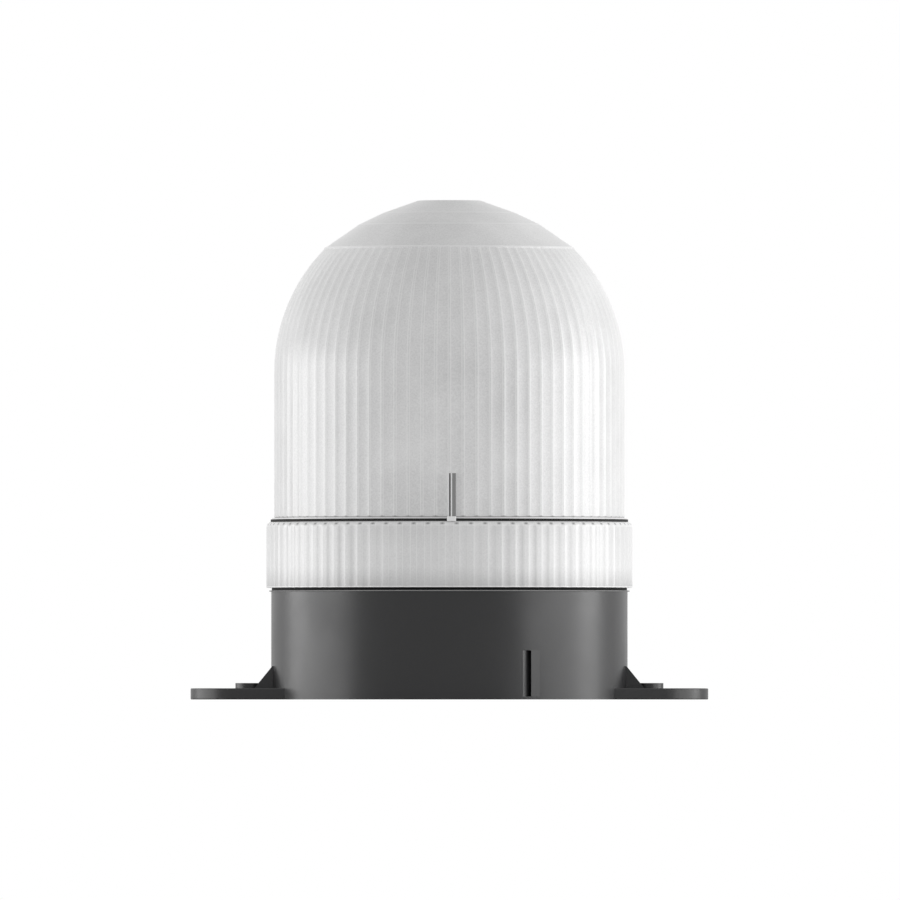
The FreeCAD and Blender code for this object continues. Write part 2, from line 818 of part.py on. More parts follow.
def collar():
    skirt_end = skirt_floor(d.base_height)
    wall = cut("collar_wall", collar_flutes(),
               cylinder("collar_well", collar_inner, d.collar_height, z=shelf_top),
               cylinder("collar_throat", collar_skirt_inner, d.collar_height, z=collar_floor))
    skirt = ring("collar_skirt", collar_skirt_outer, collar_skirt_inner, shelf_top - skirt_end, skirt_end)
    pieces = [wall, skirt]
    pieces += hooks("collar", collar_inner, d.collar_wall / 2, collar_top)
    pieces += tabs("collar", collar_skirt_outer, d.collar_skirt_wall, base_inner, d.base_height)
    for index, angle in enumerate(polar_angles(whole(d.screw_count), BOSS_START), start=1):
        boss_floor = collar_floor - d.boss_drop
        pieces.append(cylinder("carrier_boss_%d" % index, d.boss_radius, shelf_top - boss_floor,
                               *turned_by(boss_circle, angle), boss_floor))
    solid = fuse("collar_solid", *pieces)
    return cut("collar", solid, *screw_wells("collar", boss_circle, shelf_top, BOSS_START))


def base_seal():
    """A flat ring with a thin lip over the base, set back under the collar."""
    inner = collar_skirt_outer + d.seal_stretch
    outer = d.base_radius + d.seal_overhang
    neck = outer - d.seal_gap_inset
    return turned("base_seal", [
        (inner, d.base_height),
        (outer, d.base_height),
        (outer, d.base_height + d.seal_lip),
        (neck, d.base_height + d.seal_lip),
        (neck, collar_floor),
        (inner, collar_floor),
    ])


def dome_seal():
    return ring("dome_seal", dome_seal_radius, dome_skirt_outer + d.seal_stretch,
                d.dome_seal_thickness, collar_top)


# Dome
def on_sphere(radius, angle, centre):
    """Radius and height of a point on the dome, at an angle from the vertical."""
    return radius * math.sin(math.radians(angle)), centre + radius * math.cos(math.radians(angle))


def dome_flutes():
    bands = whole(d.flute_bands)
    crown = d.crown_angle.value
    ridge = dome_radius.value
    sections = [(ridge, hollow_of(ridge), flange_top.value - d.flange_height.value / 2)]
    for index in range(bands + 1):
        angle = 90.0 - (90.0 - crown) * index / bands
        radius, z = on_sphere(dome_radius, angle, dome_centre)
        sections.append((radius.value, hollow_of(radius.value), z.value))
    return fluted_solid("dome_flutes", sections, FRONT)


def dome_crown():
    """The smooth cap: a thin rim, then flat facets in steps up to a small disc."""
    rim, level = on_sphere(dome_radius, d.crown_angle.value, dome_centre)
    facets = [(rim, level - d.crown_rim), (rim, level)]
    for step in range(1, whole(d.crown_steps) + 1):
        angle = d.crown_angle.value - step * d.crown_step.value
        inset = d.crown_inset + d.crown_dip if step == MIDDLE_FACET else d.crown_inset
        facets.append(on_sphere(dome_radius - inset, angle, dome_centre))
    return turned("dome_crown", [(ZERO, level - d.crown_rim)] + facets + [(ZERO, facets[-1][1])])


def dome_hollow():
    floor = skirt_floor(collar_top) - d.skirt_tail
    points = [(ZERO, floor), (dome_inner, floor)]
    count = whole(d.ceiling_facets)
    for index in range(count):
        points.append(on_sphere(dome_inner, 90.0 - 90.0 * index / count, dome_centre))
    points.append((ZERO, dome_centre + dome_inner))
    return turned("dome_hollow", points)


def index_rib():
    """The rib that shows how the dome is turned, with a foot that reaches over the seal."""
    left = d.index_offset - d.index_width / 2
    right = d.index_offset + d.index_width / 2
    front = -(dome_radius + d.index_proud)
    back = -(dome_radius - d.dome_wall / 2)
    rib = extruded("index_rib", "XY_Plane", [
        (left, back),
        (left, front + d.index_bevel),
        (left + d.index_bevel, front),
        (right, front),
        (right, back),
    ], d.index_height, flange_top)
    foot_floor = flange_top - d.index_foot_drop
    foot_outer = dome_seal_radius + d.index_foot_gap + d.index_foot_thickness
    foot = block("index_foot", d.index_width, d.index_foot_thickness, d.index_foot_drop * 2, d.index_offset,
                 -(foot_outer - d.index_foot_thickness / 2), foot_floor)
    bridge_depth = foot_outer - dome_radius + d.dome_wall / 2
    bridge = block("index_bridge", d.index_width, bridge_depth, d.index_foot_drop, d.index_offset,
                   -(foot_outer - bridge_depth / 2), flange_top)
    return [rib, foot, bridge]


def dome():
    skirt = turned("dome_skirt", [
        (dome_inner - d.dome_wall / 4, skirt_floor(collar_top)),
        (dome_skirt_outer, skirt_floor(collar_top)),
        (dome_skirt_outer, dome_floor),
        (flange_radius, dome_floor),
        (flange_radius, flange_top),
        (dome_inner - d.dome_wall / 4, flange_top),
    ])
    pieces = [dome_flutes(), dome_crown(), skirt]
    pieces += index_rib()
    pieces += tabs("dome", dome_skirt_outer, dome_skirt_outer - dome_inner, collar_inner, collar_top)
    return cut("dome", fuse("dome_solid", *pieces), dome_hollow())


# Carrier with the driver electronics
def module_carrier():
    outer = collar_inner - d.carrier_gap
    rim_inner = outer - d.carrier_rim_width
    plate = turned("carrier_plate", [
        (d.lead_hole_radius, hub_floor),
        (d.carrier_hub_radius, hub_floor),
        (d.carrier_hub_radius, shelf_top),
        (outer, shelf_top),
        (outer, carrier_top + d.carrier_rim_height),
        (rim_inner, carrier_top + d.carrier_rim_height),
        (rim_inner, carrier_top),
        (d.lead_hole_radius, carrier_top),
    ])
    root = carrier_top - d.carrier_thickness / 2
    solid = fuse("carrier_solid", plate, *posts("carrier", root, driver_board_floor - root))
    holes = [
        cylinder("carrier_hole_%d" % index, d.board_hole_radius, d.carrier_thickness,
                 *turned_by(boss_circle, angle), shelf_top)
        for index, angle in enumerate(polar_angles(whole(d.screw_count), BOSS_START), start=1)
    ]
    wells = screw_wells("carrier", d.post_circle, driver_board_floor, POST_START)
    tower_wells = screw_wells("tower", d.tower_screw_circle, carrier_top + d.tower_foot_height, POST_START)
    return cut("module_carrier", solid, *holes, *wells, *tower_wells)


def contact_arcs():
    """Brass tracks that stay over the springs all the way through the bayonet turn."""
    margin = d.contact_lead
    return group("contact_arcs", *[
        ring_sector("contact_arc_%d" % index, radius + d.ring_width / 2, radius - d.ring_width / 2,
                    d.ring_thickness, shelf_top - d.ring_thickness,
                    -(d.bayonet_turn + margin).value, d.bayonet_turn + margin * 2)
        for index, radius in enumerate(contact_radii(), start=1)
    ])


def driver_board():
    disc = cylinder("driver_disc", d.driver_board_outer, d.board_thickness, z=driver_board_floor)
    hole = cylinder("tower_clearance", d.driver_board_inner, d.board_thickness, z=driver_board_floor)
    return cut("driver_board", disc, hole, *board_holes("driver_board", driver_board_floor))


def filter_capacitor():
    return cylinder("filter_capacitor", d.capacitor_radius, d.capacitor_height,
                    *turned_by(d.driver_circle, CAPACITOR_SIDE), driver_board_top)


def choke_core():
    """A drum of two flanges on a round core."""
    x, y = turned_by(d.driver_circle, CHOKE_SIDE)
    top = driver_board_top + d.choke_height - d.choke_flange
    return fuse("choke_core",
                cylinder("choke_foot", d.choke_radius, d.choke_flange, x, y, driver_board_top),
                cylinder("choke_middle", d.choke_core_radius, d.choke_height, x, y, driver_board_top),
                cylinder("choke_head", d.choke_radius, d.choke_flange, x, y, top))


def choke_winding():
    """The turns of wire, as one sleeve between the flanges."""
    x, y = turned_by(d.driver_circle, CHOKE_SIDE)
    return ring("choke_winding", d.choke_winding_radius, d.choke_core_radius + d.screw_gap,
                d.choke_height - d.choke_flange * 2, driver_board_top + d.choke_flange, x, y)


def driver_chip():
    x, y = turned_by(d.driver_circle, FRONT)
    return block("driver_chip", d.chip_side, d.chip_side, d.chip_height, x, y, driver_board_top)


def bridge_rectifier():
    x, y = turned_by(d.driver_circle, RECTIFIER_SIDE)
    return block("bridge_rectifier", d.rectifier_width, d.rectifier_length, d.rectifier_height,
                 x, y, driver_board_top)


def surge_varistor():
    x, y = turned_by(d.driver_circle, VARISTOR_SIDE)
    sideways = FreeCAD.Rotation(V(0, 1, 0), 90)
    return cylinder("surge_varistor", d.varistor_radius, d.varistor_thickness, x - d.varistor_thickness / 2,
                    y, driver_board_top + d.varistor_radius, sideways)


# Light tower
def heat_sink_tower():
    sides = whole(d.tower_sides)
    apothem = d.tower_flats / 2
    corner = apothem / math.cos(math.pi / sides)
    corners = [turned_by(corner, angle) for angle in polar_angles(sides)]
    foot_top = carrier_top + d.tower_foot_height
    post = extruded("tower_post", "XY_Plane", corners, tower_height, carrier_top)
    foot = cylinder("tower_foot", d.tower_foot_radius, d.tower_foot_height, z=carrier_top)
    bore = cylinder("tower_bore", d.lead_hole_radius, tower_height, z=carrier_top)
    holes = [
        cylinder("tower_hole_%d" % index, d.board_hole_radius, d.tower_foot_height,
                 *turned_by(d.tower_screw_circle, angle), carrier_top)
        for index, angle in enumerate(polar_angles(whole(d.screw_count), POST_START), start=1)
    ]
    return cut("heat_sink_tower", fuse("tower_solid", post, foot), bore, *holes)


def light_strips():
    """A narrow board on each flat of the tower, and the row of lamps on each board."""
    made = []
    floor = carrier_top + d.strip_lift
    sides = whole(d.tower_sides)
    board_reach = d.tower_flats / 2 + d.strip_thickness / 2
    lamp_reach = d.tower_flats / 2 + d.strip_thickness + d.lamp_height / 2
    edge = (d.strip_length - d.lamp_pitch * (whole(d.lamps_in_strip) - 1) - d.lamp_side) / 2
    for side, angle in enumerate(polar_angles(sides, FRONT), start=1):
        x, y = turned_by(board_reach, angle)
        made.append(block("strip_board_%d" % side, d.strip_thickness, d.strip_width, d.strip_length,
                          x, y, floor, angle))
        x, y = turned_by(lamp_reach, angle)
        lamps = [
            block("lamp_%d_%d" % (side, number), d.lamp_height, d.lamp_side, d.lamp_side, x, y,
                  floor + edge + d.lamp_pitch * number, angle)
            for number in range(whole(d.lamps_in_strip))
        ]
        made.append(group("strip_lamps_%d" % side, *lamps))
    return made


def top_board():
    return cylinder("top_board", d.top_board_radius, d.strip_thickness, z=tower_top)


def top_lamps():
    floor = tower_top + d.strip_thickness
    lamps = [block("top_lamp_middle", d.lamp_side, d.lamp_side, d.lamp_height, z=floor)]
    for index, angle in enumerate(polar_angles(whole(d.top_lamp_count)), start=1):
        x, y = turned_by(d.top_lamp_circle, angle)
        lamps.append(block("top_lamp_%d" % index, d.lamp_side, d.lamp_side, d.lamp_height,
                           x, y, floor, angle))
    return group("top_lamps", *lamps)


nodes = [
    base_housing(),
    mounting_gasket(),
    cable_grommet(),
    terminal_board(),
    screws("board_screws", d.post_circle, terminal_board_top, POST_START),
    terminal_block(),
    terminal_clamps(),
    terminal_screws(),
    contact_block(),
    contact_springs(),
    collar(),
    base_seal(),
    module_carrier(),
    screws("carrier_screws", boss_circle, carrier_top, BOSS_START),
    contact_arcs(),
    driver_board(),
    screws("driver_screws", d.post_circle, driver_board_top, POST_START),
    filter_capacitor(),
    choke_core(),
    choke_winding(),
    driver_chip(),
    bridge_rectifier(),
    surge_varistor(),
    heat_sink_tower(),
    screws("tower_screws", d.tower_screw_circle, carrier_top + d.tower_foot_height, POST_START),
    *light_strips(),
    top_board(),
    top_lamps(),
    dome(),
    dome_seal(),
]
doc.recompute()

failed = [item.Name for item in doc.Objects if "Invalid" in item.State or "Error" in item.State]
if failed:
    raise RuntimeError("these objects failed: %s" % ", ".join(failed))

os.makedirs("parts", exist_ok=True)
for node in nodes:
    shape = node.Shape
    if shape.isNull() or not shape.isValid() or not shape.Solids:
        raise RuntimeError("%s has no valid solid" % node.Label)
    shape.exportStep(os.path.join("parts", node.Label + ".step"))
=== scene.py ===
"""Dome signal beacon: the fluted dome and collar, the rubber rings, the finishes and the studio."""
import math

import bmesh
import bpy
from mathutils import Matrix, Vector


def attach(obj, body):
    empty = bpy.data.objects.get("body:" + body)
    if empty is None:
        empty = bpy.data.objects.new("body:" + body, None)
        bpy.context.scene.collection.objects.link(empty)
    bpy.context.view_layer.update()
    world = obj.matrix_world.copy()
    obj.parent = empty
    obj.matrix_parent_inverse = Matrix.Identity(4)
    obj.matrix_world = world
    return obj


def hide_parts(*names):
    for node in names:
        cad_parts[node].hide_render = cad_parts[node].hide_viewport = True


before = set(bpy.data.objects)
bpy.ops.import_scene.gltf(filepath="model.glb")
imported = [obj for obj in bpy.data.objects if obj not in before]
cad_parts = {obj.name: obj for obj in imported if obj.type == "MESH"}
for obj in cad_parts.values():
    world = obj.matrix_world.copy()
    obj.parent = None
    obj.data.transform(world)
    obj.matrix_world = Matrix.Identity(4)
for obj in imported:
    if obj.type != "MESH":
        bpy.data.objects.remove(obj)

bl_info = {
    "name": "Dome beacon",
    "version": (1, 0, 0),
    "blender": (4, 5, 0),
    "location": "View3D > Sidebar > Beacon",
    "description": "Models the dome and collar of a signal beacon, its finishes and its studio",
    "category": "Object",
}

MM = 0.001

# Bearings round the axis, in degrees
FRONT = 270.0
TAB_PITCH = 120.0
TAB_START = 60.0

# The collar: heights over the mounting face and radii
COLLAR_FLOOR = 29.92 * MM
COLLAR_EDGE = 0.12 * MM
COLLAR_LINE = 30.2 * MM
COLLAR_TOP = 47.55 * MM
COLLAR_BORE = 46.9 * MM
COLLAR_FACE = 48.0 * MM
COLLAR_HOOK_REACH = 45.4 * MM
SHELF_TOP = 32.0 * MM
SKIRT_OUTER = 43.9 * MM
SKIRT_BORE = 42.2 * MM
SKIRT_FOOT = 24.4 * MM
SKIRT_TAB_FLOOR = 25.0 * MM
SKIRT_TAB_REACH = 45.3 * MM

# The dome: heights and radii
FLANGE_FLOOR = 48.2 * MM
FLANGE_TOP = 48.55 * MM
FLANGE_RADIUS = 47.5 * MM
FLANGE_EDGE = 0.05 * MM
DOME_BORE = 43.7 * MM
DOME_SKIRT = 45.1 * MM
DOME_TAB_REACH = 46.5 * MM
DOME_TAB_DROP = 2.2 * MM
DOME_SKIRT_TAIL = 0.6 * MM
DOME_BANDS = 13
CEILING_ANGLES = (72.0, 54.0, 36.0, 18.0)
RIB_TOP = 60.25 * MM

# The lip round the cap: how proud it and its shoulder stand, how far outside the cap in degrees
LIP_PROUD, LIP_TURN = 0.22 * MM, 0.05
SHOULDER_PROUD, SHOULDER_TURN = 0.12 * MM, 0.45
FLUTES_TURN = 0.7

# Corners of the faceted cap: angle from the axis in degrees, reach from the dome's centre
CAP_CORNERS = ((31.4, 46.23 * MM), (22.5, 46.05 * MM), (10.3, 46.6 * MM))

# The bayonets, the same at both seams
BAYONET_THICKNESS = 2.0 * MM
TAB_SWEEP = 28.0
HOOK_SWEEP = 30.0

# A flute: steps round it, and how much of its depth the slope beside the rib takes
FLUTE_STEPS = 16
HALF_FLUTE = FLUTE_STEPS // 2
FLANK_SHARE = 0.35
FLAT_SHARE = 0.02

# Rings up the collar's rounded edge, as angles in degrees, closer where the flutes run out
COLLAR_LEANS = (9.0, 16.0, 22.0, 26.0, 30.0, 38.0, 48.0, 60.0, 75.0, 90.0)

# Masks of painted highlights and painted shade, as shares of the light and dark tones below
FLANK_LIGHT = 0.6
CORNER_LIGHT = 0.5
COLLAR_LIGHT = 0.3
LIT_TONE = (0.97, 0.97, 0.97, 1.0)
# Painted shade on the collar's foot and top edge, and in the rib's groove and on its face
DUSK_TONE = (0.12, 0.12, 0.12, 1.0)
# Painted shade: dark spots at the ends of the ribs and a dark line over the dome's flange
SHADE_MARK_TONE = (0.05, 0.05, 0.05, 1.0)
# Painted highlight, in grey, on the thin lip of the lower seal
LIP_HIGHLIGHT_TONE = (0.3, 0.3, 0.3, 1.0)
RUBBER_GLOSS = 0.12

# Factors, vertices and heights nearer than these are one
SAME = 1e-9
MERGE = 0.001 * MM
NEAR = 0.01 * MM


# Sizes and colours that a user would change
class BeaconSizes(bpy.types.PropertyGroup):
    flutes: bpy.props.IntProperty(
        name="Flutes", description="Grooves round the dome and round the collar",
        default=80, min=3)
    flute_ratio: bpy.props.FloatProperty(
        name="Flute depth", description="Depth of a groove as a share of the radius",
        default=0.0032, precision=4)
    rib_flank: bpy.props.FloatProperty(
        name="Rib flank", description="Width of the slope beside a rib",
        default=0.23 * MM, unit="LENGTH", precision=5)
    dome_rib: bpy.props.FloatProperty(
        name="Dome ribs", description="Width of the flat rib between two grooves",
        default=0.46 * MM, unit="LENGTH", precision=5)
    collar_rib: bpy.props.FloatProperty(
        name="Collar ribs", description="Width of the flat rib between two grooves",
        default=1.44 * MM, unit="LENGTH", precision=5)
    collar_radius: bpy.props.FloatProperty(
        name="Collar radius", description="Radius over the ridges",
        default=49.0 * MM, unit="LENGTH", precision=5)
    collar_round: bpy.props.FloatProperty(
        name="Collar edge", description="Rounding of the top edge",
        default=1.5 * MM, unit="LENGTH", precision=5)
    dome_radius: bpy.props.FloatProperty(
        name="Dome radius", description="Radius over the ridges",
        default=46.9 * MM, unit="LENGTH", precision=5)
    dome_centre: bpy.props.FloatProperty(
        name="Dome centre", description="Height where the straight wall ends",
        default=87.75 * MM, unit="LENGTH", precision=5)
    crown_angle: bpy.props.FloatProperty(
        name="Cap angle", description="Angle from the vertical where the smooth cap begins",
        default=math.radians(45.0), subtype="ANGLE")


class BeaconFinish(bpy.types.PropertyGroup):
    frosted: bpy.props.FloatVectorProperty(
        name="Frosted plastic", description="Colour of the dome and collar",
        default=(0.83, 0.83, 0.83), subtype="COLOR", min=0.0, max=1.0)
    base: bpy.props.FloatVectorProperty(
        name="Base plastic", description="Colour of the dark base",
        default=(0.014, 0.014, 0.015), subtype="COLOR", min=0.0, max=1.0)
    seal: bpy.props.FloatVectorProperty(
        name="Seals", description="Colour of the rubber seals",
        default=(0.008, 0.008, 0.008), subtype="COLOR", min=0.0, max=1.0)
    lamp: bpy.props.FloatVectorProperty(
        name="Lamps", description="Colour of the lamps' phosphor",
        default=(0.85, 0.66, 0.16), subtype="COLOR", min=0.0, max=1.0)


class BeaconStudio(bpy.types.PropertyGroup):
    camera_distance: bpy.props.FloatProperty(
        name="Camera distance", description="From the camera to the beacon's axis",
        default=8.0, unit="LENGTH")
    view_width: bpy.props.FloatProperty(
        name="View width", description="Width of the picture at the beacon",
        default=240.98 * MM, unit="LENGTH", precision=5)
    ambient: bpy.props.FloatProperty(
        name="Ambient light", description="Strength of the even light", default=0.51)
    left_light: bpy.props.FloatProperty(
        name="Left softbox", description="Brightness of its face", default=5.2)
    right_light: bpy.props.FloatProperty(
        name="Right softbox", description="Brightness of its face", default=3.9)
    side_light: bpy.props.FloatProperty(
        name="Side softbox", description="Brightness of the wide one on the right",
        default=4.6)


def sizes():
    return bpy.context.scene.beacon_sizes


def finish():
    return bpy.context.scene.beacon_finish


def studio():
    return bpy.context.scene.beacon_studio


# Modelling helpers
def begin(name):
    """Opens the active object for editing under its own name."""
    piece = bpy.context.active_object
    piece.name = name
    piece.data.name = name
    bpy.ops.object.transform_apply(location=True, rotation=True, scale=True)
    bpy.ops.object.mode_set(mode="EDIT")
    bpy.ops.mesh.select_mode(type="VERT")
    return piece


def end(piece, sharp_angle=20.0):
    """Closes the edit with merged vertices, outward normals and smooth shading up to an angle."""
    bpy.ops.mesh.select_all(action="SELECT")
    bpy.ops.mesh.remove_doubles(threshold=MERGE)
    bpy.ops.mesh.normals_make_consistent(inside=False)
    bpy.ops.object.mode_set(mode="OBJECT")
    bpy.ops.object.shade_smooth_by_angle(angle=math.radians(sharp_angle), keep_sharp_edges=True)
    return piece


def edit_mesh(piece):
    return bmesh.from_edit_mesh(piece.data)


def pick(piece, test):
    """Selects only the vertices that pass a test, and the edges and faces between them."""
    mesh = edit_mesh(piece)
    for face in mesh.faces:
        face.select = False
    for edge in mesh.edges:
        edge.select = False
    for vert in mesh.verts:
        vert.select = test(vert)
    mesh.select_flush(True)
    bmesh.update_edit_mesh(piece.data)


def pick_faces(piece, test):
    """Selects only the faces that pass a test."""
    mesh = edit_mesh(piece)
    for face in mesh.faces:
        face.select_set(False)
    mesh.select_flush(False)
    for face in mesh.faces:
        if test(face):
            face.select_set(True)
    bmesh.update_edit_mesh(piece.data)


def across(point):
    """Distance from the beacon's axis."""
    return math.hypot(point.x, point.y)


def direction(point):
    return math.degrees(math.atan2(point.y, point.x)) % 360.0


def flute_step(point, first):
    """Where a point stands in its flute, in steps from the ridge before it."""
    pitch = 360.0 / sizes().flutes
    return ((direction(point) - first) % pitch) / pitch * FLUTE_STEPS


def flute_place(point, first):
    """Steps from a vertex to the nearest ridge: none on it, half a flute's in the hollow."""
    step = round(flute_step(point, first)) % FLUTE_STEPS
    return min(step, FLUTE_STEPS - step)


def flute_shares(radius, rib):
    """Depth of the groove at each place: 0 on the flat rib, a slope, an arc to 1 in the middle."""
    half = math.pi * radius / sizes().flutes
    slope = sizes().rib_flank
    shares = []
    for place in range(HALF_FLUTE + 1):
        away = half * place / HALF_FLUTE - rib / 2
        short = min(1.0, max(0.0, away / slope))
        rest = 1.0 - min(1.0, max(0.0, (away - slope) / (half - rib / 2 - slope)))
        shares.append(FLANK_SHARE * short + (1.0 - FLANK_SHARE) * (1.0 - rest * rest))
    return shares


def fluted(radius, shares):
    return [radius * (1.0 - sizes().flute_ratio * share) for share in shares]


def plain(radius):
    return [radius] * (HALF_FLUTE + 1)


def capped(radii, radius):
    return [min(value, radius) for value in radii]


def on_dome(reach, angle):
    """Radius and height of a point of the round top, at an angle from the axis in degrees."""
    lean = math.radians(angle)
    return reach * math.sin(lean), sizes().dome_centre + reach * math.cos(lean)


def shape_ring(piece, first, radii, height):
    """Brings the selected ring of vertices to its radii, one for each place in a flute."""
    mesh = edit_mesh(piece)
    ring = [vert.index for vert in mesh.verts if vert.select]
    mesh.verts.ensure_lookup_table()
    groups = {}
    for index in ring:
        groups.setdefault(flute_place(mesh.verts[index].co, first), []).append(index)
    factors = {place: radii[place] / across(mesh.verts[members[0]].co)
               for place, members in groups.items()}
    if max(factors.values()) - min(factors.values()) < SAME:
        groups = {0: ring}
        factors = {0: factors[min(factors)]}
    for place, members in groups.items():
        if abs(factors[place] - 1.0) < SAME:
            continue
        chosen = set(members)
        pick(piece, lambda vert: vert.index in chosen)
        bpy.ops.transform.resize(value=(factors[place], factors[place], 1.0),
                                 center_override=(0.0, 0.0, height))
    chosen = set(ring)
    pick(piece, lambda vert: vert.index in chosen)


def add_ring(name, radii, height, first):
    """The first ring of a shell, as a circle with a vertex at each step of each flute."""
    bpy.ops.object.select_all(action="DESELECT")
    bpy.ops.mesh.primitive_circle_add(
        vertices=sizes().flutes * FLUTE_STEPS, radius=radii[0], fill_type="NOTHING",
        location=(0.0, 0.0, height))
    piece = begin(name)
    bpy.ops.mesh.select_all(action="SELECT")
    shape_ring(piece, first, radii, height)
    return piece


def grow(piece, first, height, steps):
    """Extrudes the selected ring through a list of radii and heights."""
    for radii, level in steps:
        bpy.ops.mesh.extrude_edges_move(
            TRANSFORM_OT_translate={"value": (0.0, 0.0, level - height)})
        shape_ring(piece, first, radii, level)
        height = level
    return height


def close_at(rise):
    """Draws the selected ring together to one point that far over it."""
    bpy.ops.mesh.extrude_edges_move(TRANSFORM_OT_translate={"value": (0.0, 0.0, 0.0)})
    bpy.ops.mesh.merge(type="CENTER")
    bpy.ops.transform.translate(value=(0.0, 0.0, rise))


def outline_prism(name, outline, floor, top):
    """A prism on an outline in mm: a ring of vertices, each drawn to its place, then extruded."""
    bpy.ops.object.select_all(action="DESELECT")
    bpy.ops.mesh.primitive_circle_add(
        vertices=len(outline), radius=10.0 * MM, fill_type="NGON", location=(0, 0, floor))
    piece = begin(name)
    for index, (x, y) in enumerate(outline):
        pick(piece, lambda vert: vert.index == index)
        mesh = edit_mesh(piece)
        mesh.verts.ensure_lookup_table()
        place = mesh.verts[index].co
        bpy.ops.transform.translate(value=(x * MM - place.x, y * MM - place.y, 0.0))
    bpy.ops.mesh.select_all(action="SELECT")
    bpy.ops.mesh.extrude_region_move(TRANSFORM_OT_translate={"value": (0.0, 0.0, top - floor)})
    return piece


def raise_tabs(piece, floor, radius, reach, sweep):
    """Raises the three bayonet tabs out of a wall, from its radius to their reach."""
    top = floor + BAYONET_THICKNESS

    def on_tab(face):
        point = face.calc_center_median()
        aside = (direction(point) - TAB_START + TAB_PITCH / 2) % TAB_PITCH - TAB_PITCH / 2
        on_wall = abs(across(point) - radius) < 0.2 * MM
        return floor < point.z < top and on_wall and abs(aside) < sweep / 2
    pick_faces(piece, on_tab)
    bpy.ops.mesh.extrude_region_move(TRANSFORM_OT_translate={"value": (0.0, 0.0, 0.0)})
    bpy.ops.transform.resize(value=(reach / radius, reach / radius, 1.0),
                             center_override=(0.0, 0.0, floor))


def paint(piece, name, value_at):
    """Stores a mask on the vertices, from a rule on their place."""
    layer = piece.data.attributes.new(name, "FLOAT", "POINT")
    layer.data.foreach_set("value", [value_at(vert.co) for vert in piece.data.vertices])


def paint_faces(piece, name, value_at):
    """Stores a mask on the faces."""
    layer = piece.data.attributes.new(name, "FLOAT", "FACE")
    layer.data.foreach_set("value", [value_at(face) for face in piece.data.polygons])


def on_flank(face, first, shares):
    """Whether a face is the slope beside a rib."""
    step = flute_step(face.center, first)
    place = int(min(step, FLUTE_STEPS - step))
    return shares[place] < FLAT_SHARE < shares[place + 1]


def fade(value, centre, half):
    """One at the centre, falling to nothing at half the width from it."""
    return max(0.0, 1.0 - abs(value - centre) / half)


def give(piece, material):
    if piece.material_slots:
        for socket in piece.material_slots:
            socket.material = material
    else:
        piece.data.materials.append(material)


# Shader nodes; the two numbers after a node's kind are its place in the editor
def new_group(name, inputs, outputs):
    group = bpy.data.node_groups.new(name, "ShaderNodeTree")
    for title, kind, value in inputs:
        socket = group.interface.new_socket(name=title, in_out="INPUT", socket_type=kind)
        socket.default_value = value
    for title, kind in outputs:
        group.interface.new_socket(name=title, in_out="OUTPUT", socket_type=kind)
    start = add_node(group, "NodeGroupInput", -900, 0)
    final = add_node(group, "NodeGroupOutput", 700, 0)
    return group, start, final


def add_node(tree, kind, x, y, **values):
    node = tree.nodes.new(kind)
    node.location = (x, y)
    for key, value in values.items():
        setattr(node, key, value)
    return node


def feed(tree, socket, value):
    """Links another node's output to a socket, or sets the socket to a constant."""
    if isinstance(value, bpy.types.NodeSocket):
        tree.links.new(value, socket)
    else:
        socket.default_value = value


def math_node(tree, operation, x, y, first, second):
    node = add_node(tree, "ShaderNodeMath", x, y, operation=operation)
    for socket, value in zip(node.inputs, (first, second)):
        feed(tree, socket, value)
    return node.outputs[0]


def mix_colour(tree, x, y, blend, factor, first, second):
    """Mixes two colours; 0, 6 and 7 are the node's sockets for factor and colours."""
    node = add_node(tree, "ShaderNodeMix", x, y, data_type="RGBA", blend_type=blend)
    for index, value in ((0, factor), (6, first), (7, second)):
        feed(tree, node.inputs[index], value)
    return node.outputs[2]


def stretch(tree, x, y, value, source, target):
    """Maps a value from one range to another."""
    node = add_node(tree, "ShaderNodeMapRange", x, y)
    for socket, number in zip(node.inputs, (value, *source, *target)):
        feed(tree, socket, number)
    return node.outputs[0]


def noise(tree, x, y, place, scale, detail=2.0):
    node = add_node(tree, "ShaderNodeTexNoise", x, y)
    node.inputs["Detail"].default_value = detail
    tree.links.new(place, node.inputs["Vector"])
    feed(tree, node.inputs["Scale"], scale)
    return node.outputs["Fac"]


def grey_of(tree, x, y, shade):
    """A grey with one value in all three channels."""
    node = add_node(tree, "ShaderNodeCombineColor", x, y)
    for index in range(3):
        tree.links.new(shade, node.inputs[index])
    return node.outputs[0]


def mask(tree, y, name):
    """A mask painted on the mesh."""
    return add_node(tree, "ShaderNodeAttribute", -1100, y, attribute_name=name).outputs["Fac"]


def moulded_grain_group():
    """Moulded plastic: fine grain, soft cloudy colour and rubbed patches."""
    group, start, final = new_group(
        "moulded_grain",
        [("Colour", "NodeSocketColor", (0.5, 0.5, 0.5, 1.0)),
         ("Grain", "NodeSocketFloat", 3000.0),
         ("Variation", "NodeSocketFloat", 0.1),
         ("Roughness", "NodeSocketFloat", 0.4)],
        [("Colour", "NodeSocketColor"),
         ("Roughness", "NodeSocketFloat"),
         ("Height", "NodeSocketFloat")])
    link = group.links.new
    place = add_node(group, "ShaderNodeTexCoord", -900, -300).outputs["Object"]
    grain = noise(group, -650, 100, place, start.outputs["Grain"], detail=3.0)
    cloud = noise(group, -650, -250, place, 60.0, detail=4.0)
    low = math_node(group, "SUBTRACT", -300, 50, 1.0, start.outputs["Variation"])
    high = math_node(group, "ADD", -300, -80, 1.0, start.outputs["Variation"])
    both = math_node(group, "ADD", -450, -150, grain, cloud)
    shade = stretch(group, -120, -60, both, (0.7, 1.3), (low, high))
    grey = grey_of(group, 80, -60, shade)
    colour = mix_colour(group, 300, 100, "MULTIPLY", 1.0, start.outputs["Colour"], grey)
    link(colour, final.inputs["Colour"])
    spread = stretch(group, -120, -350, cloud, (0.3, 0.7), (-0.04, 0.04))
    rough = math_node(group, "ADD", 300, -300, start.outputs["Roughness"], spread)
    link(rough, final.inputs["Roughness"])
    link(grain, final.inputs["Height"])
    return group


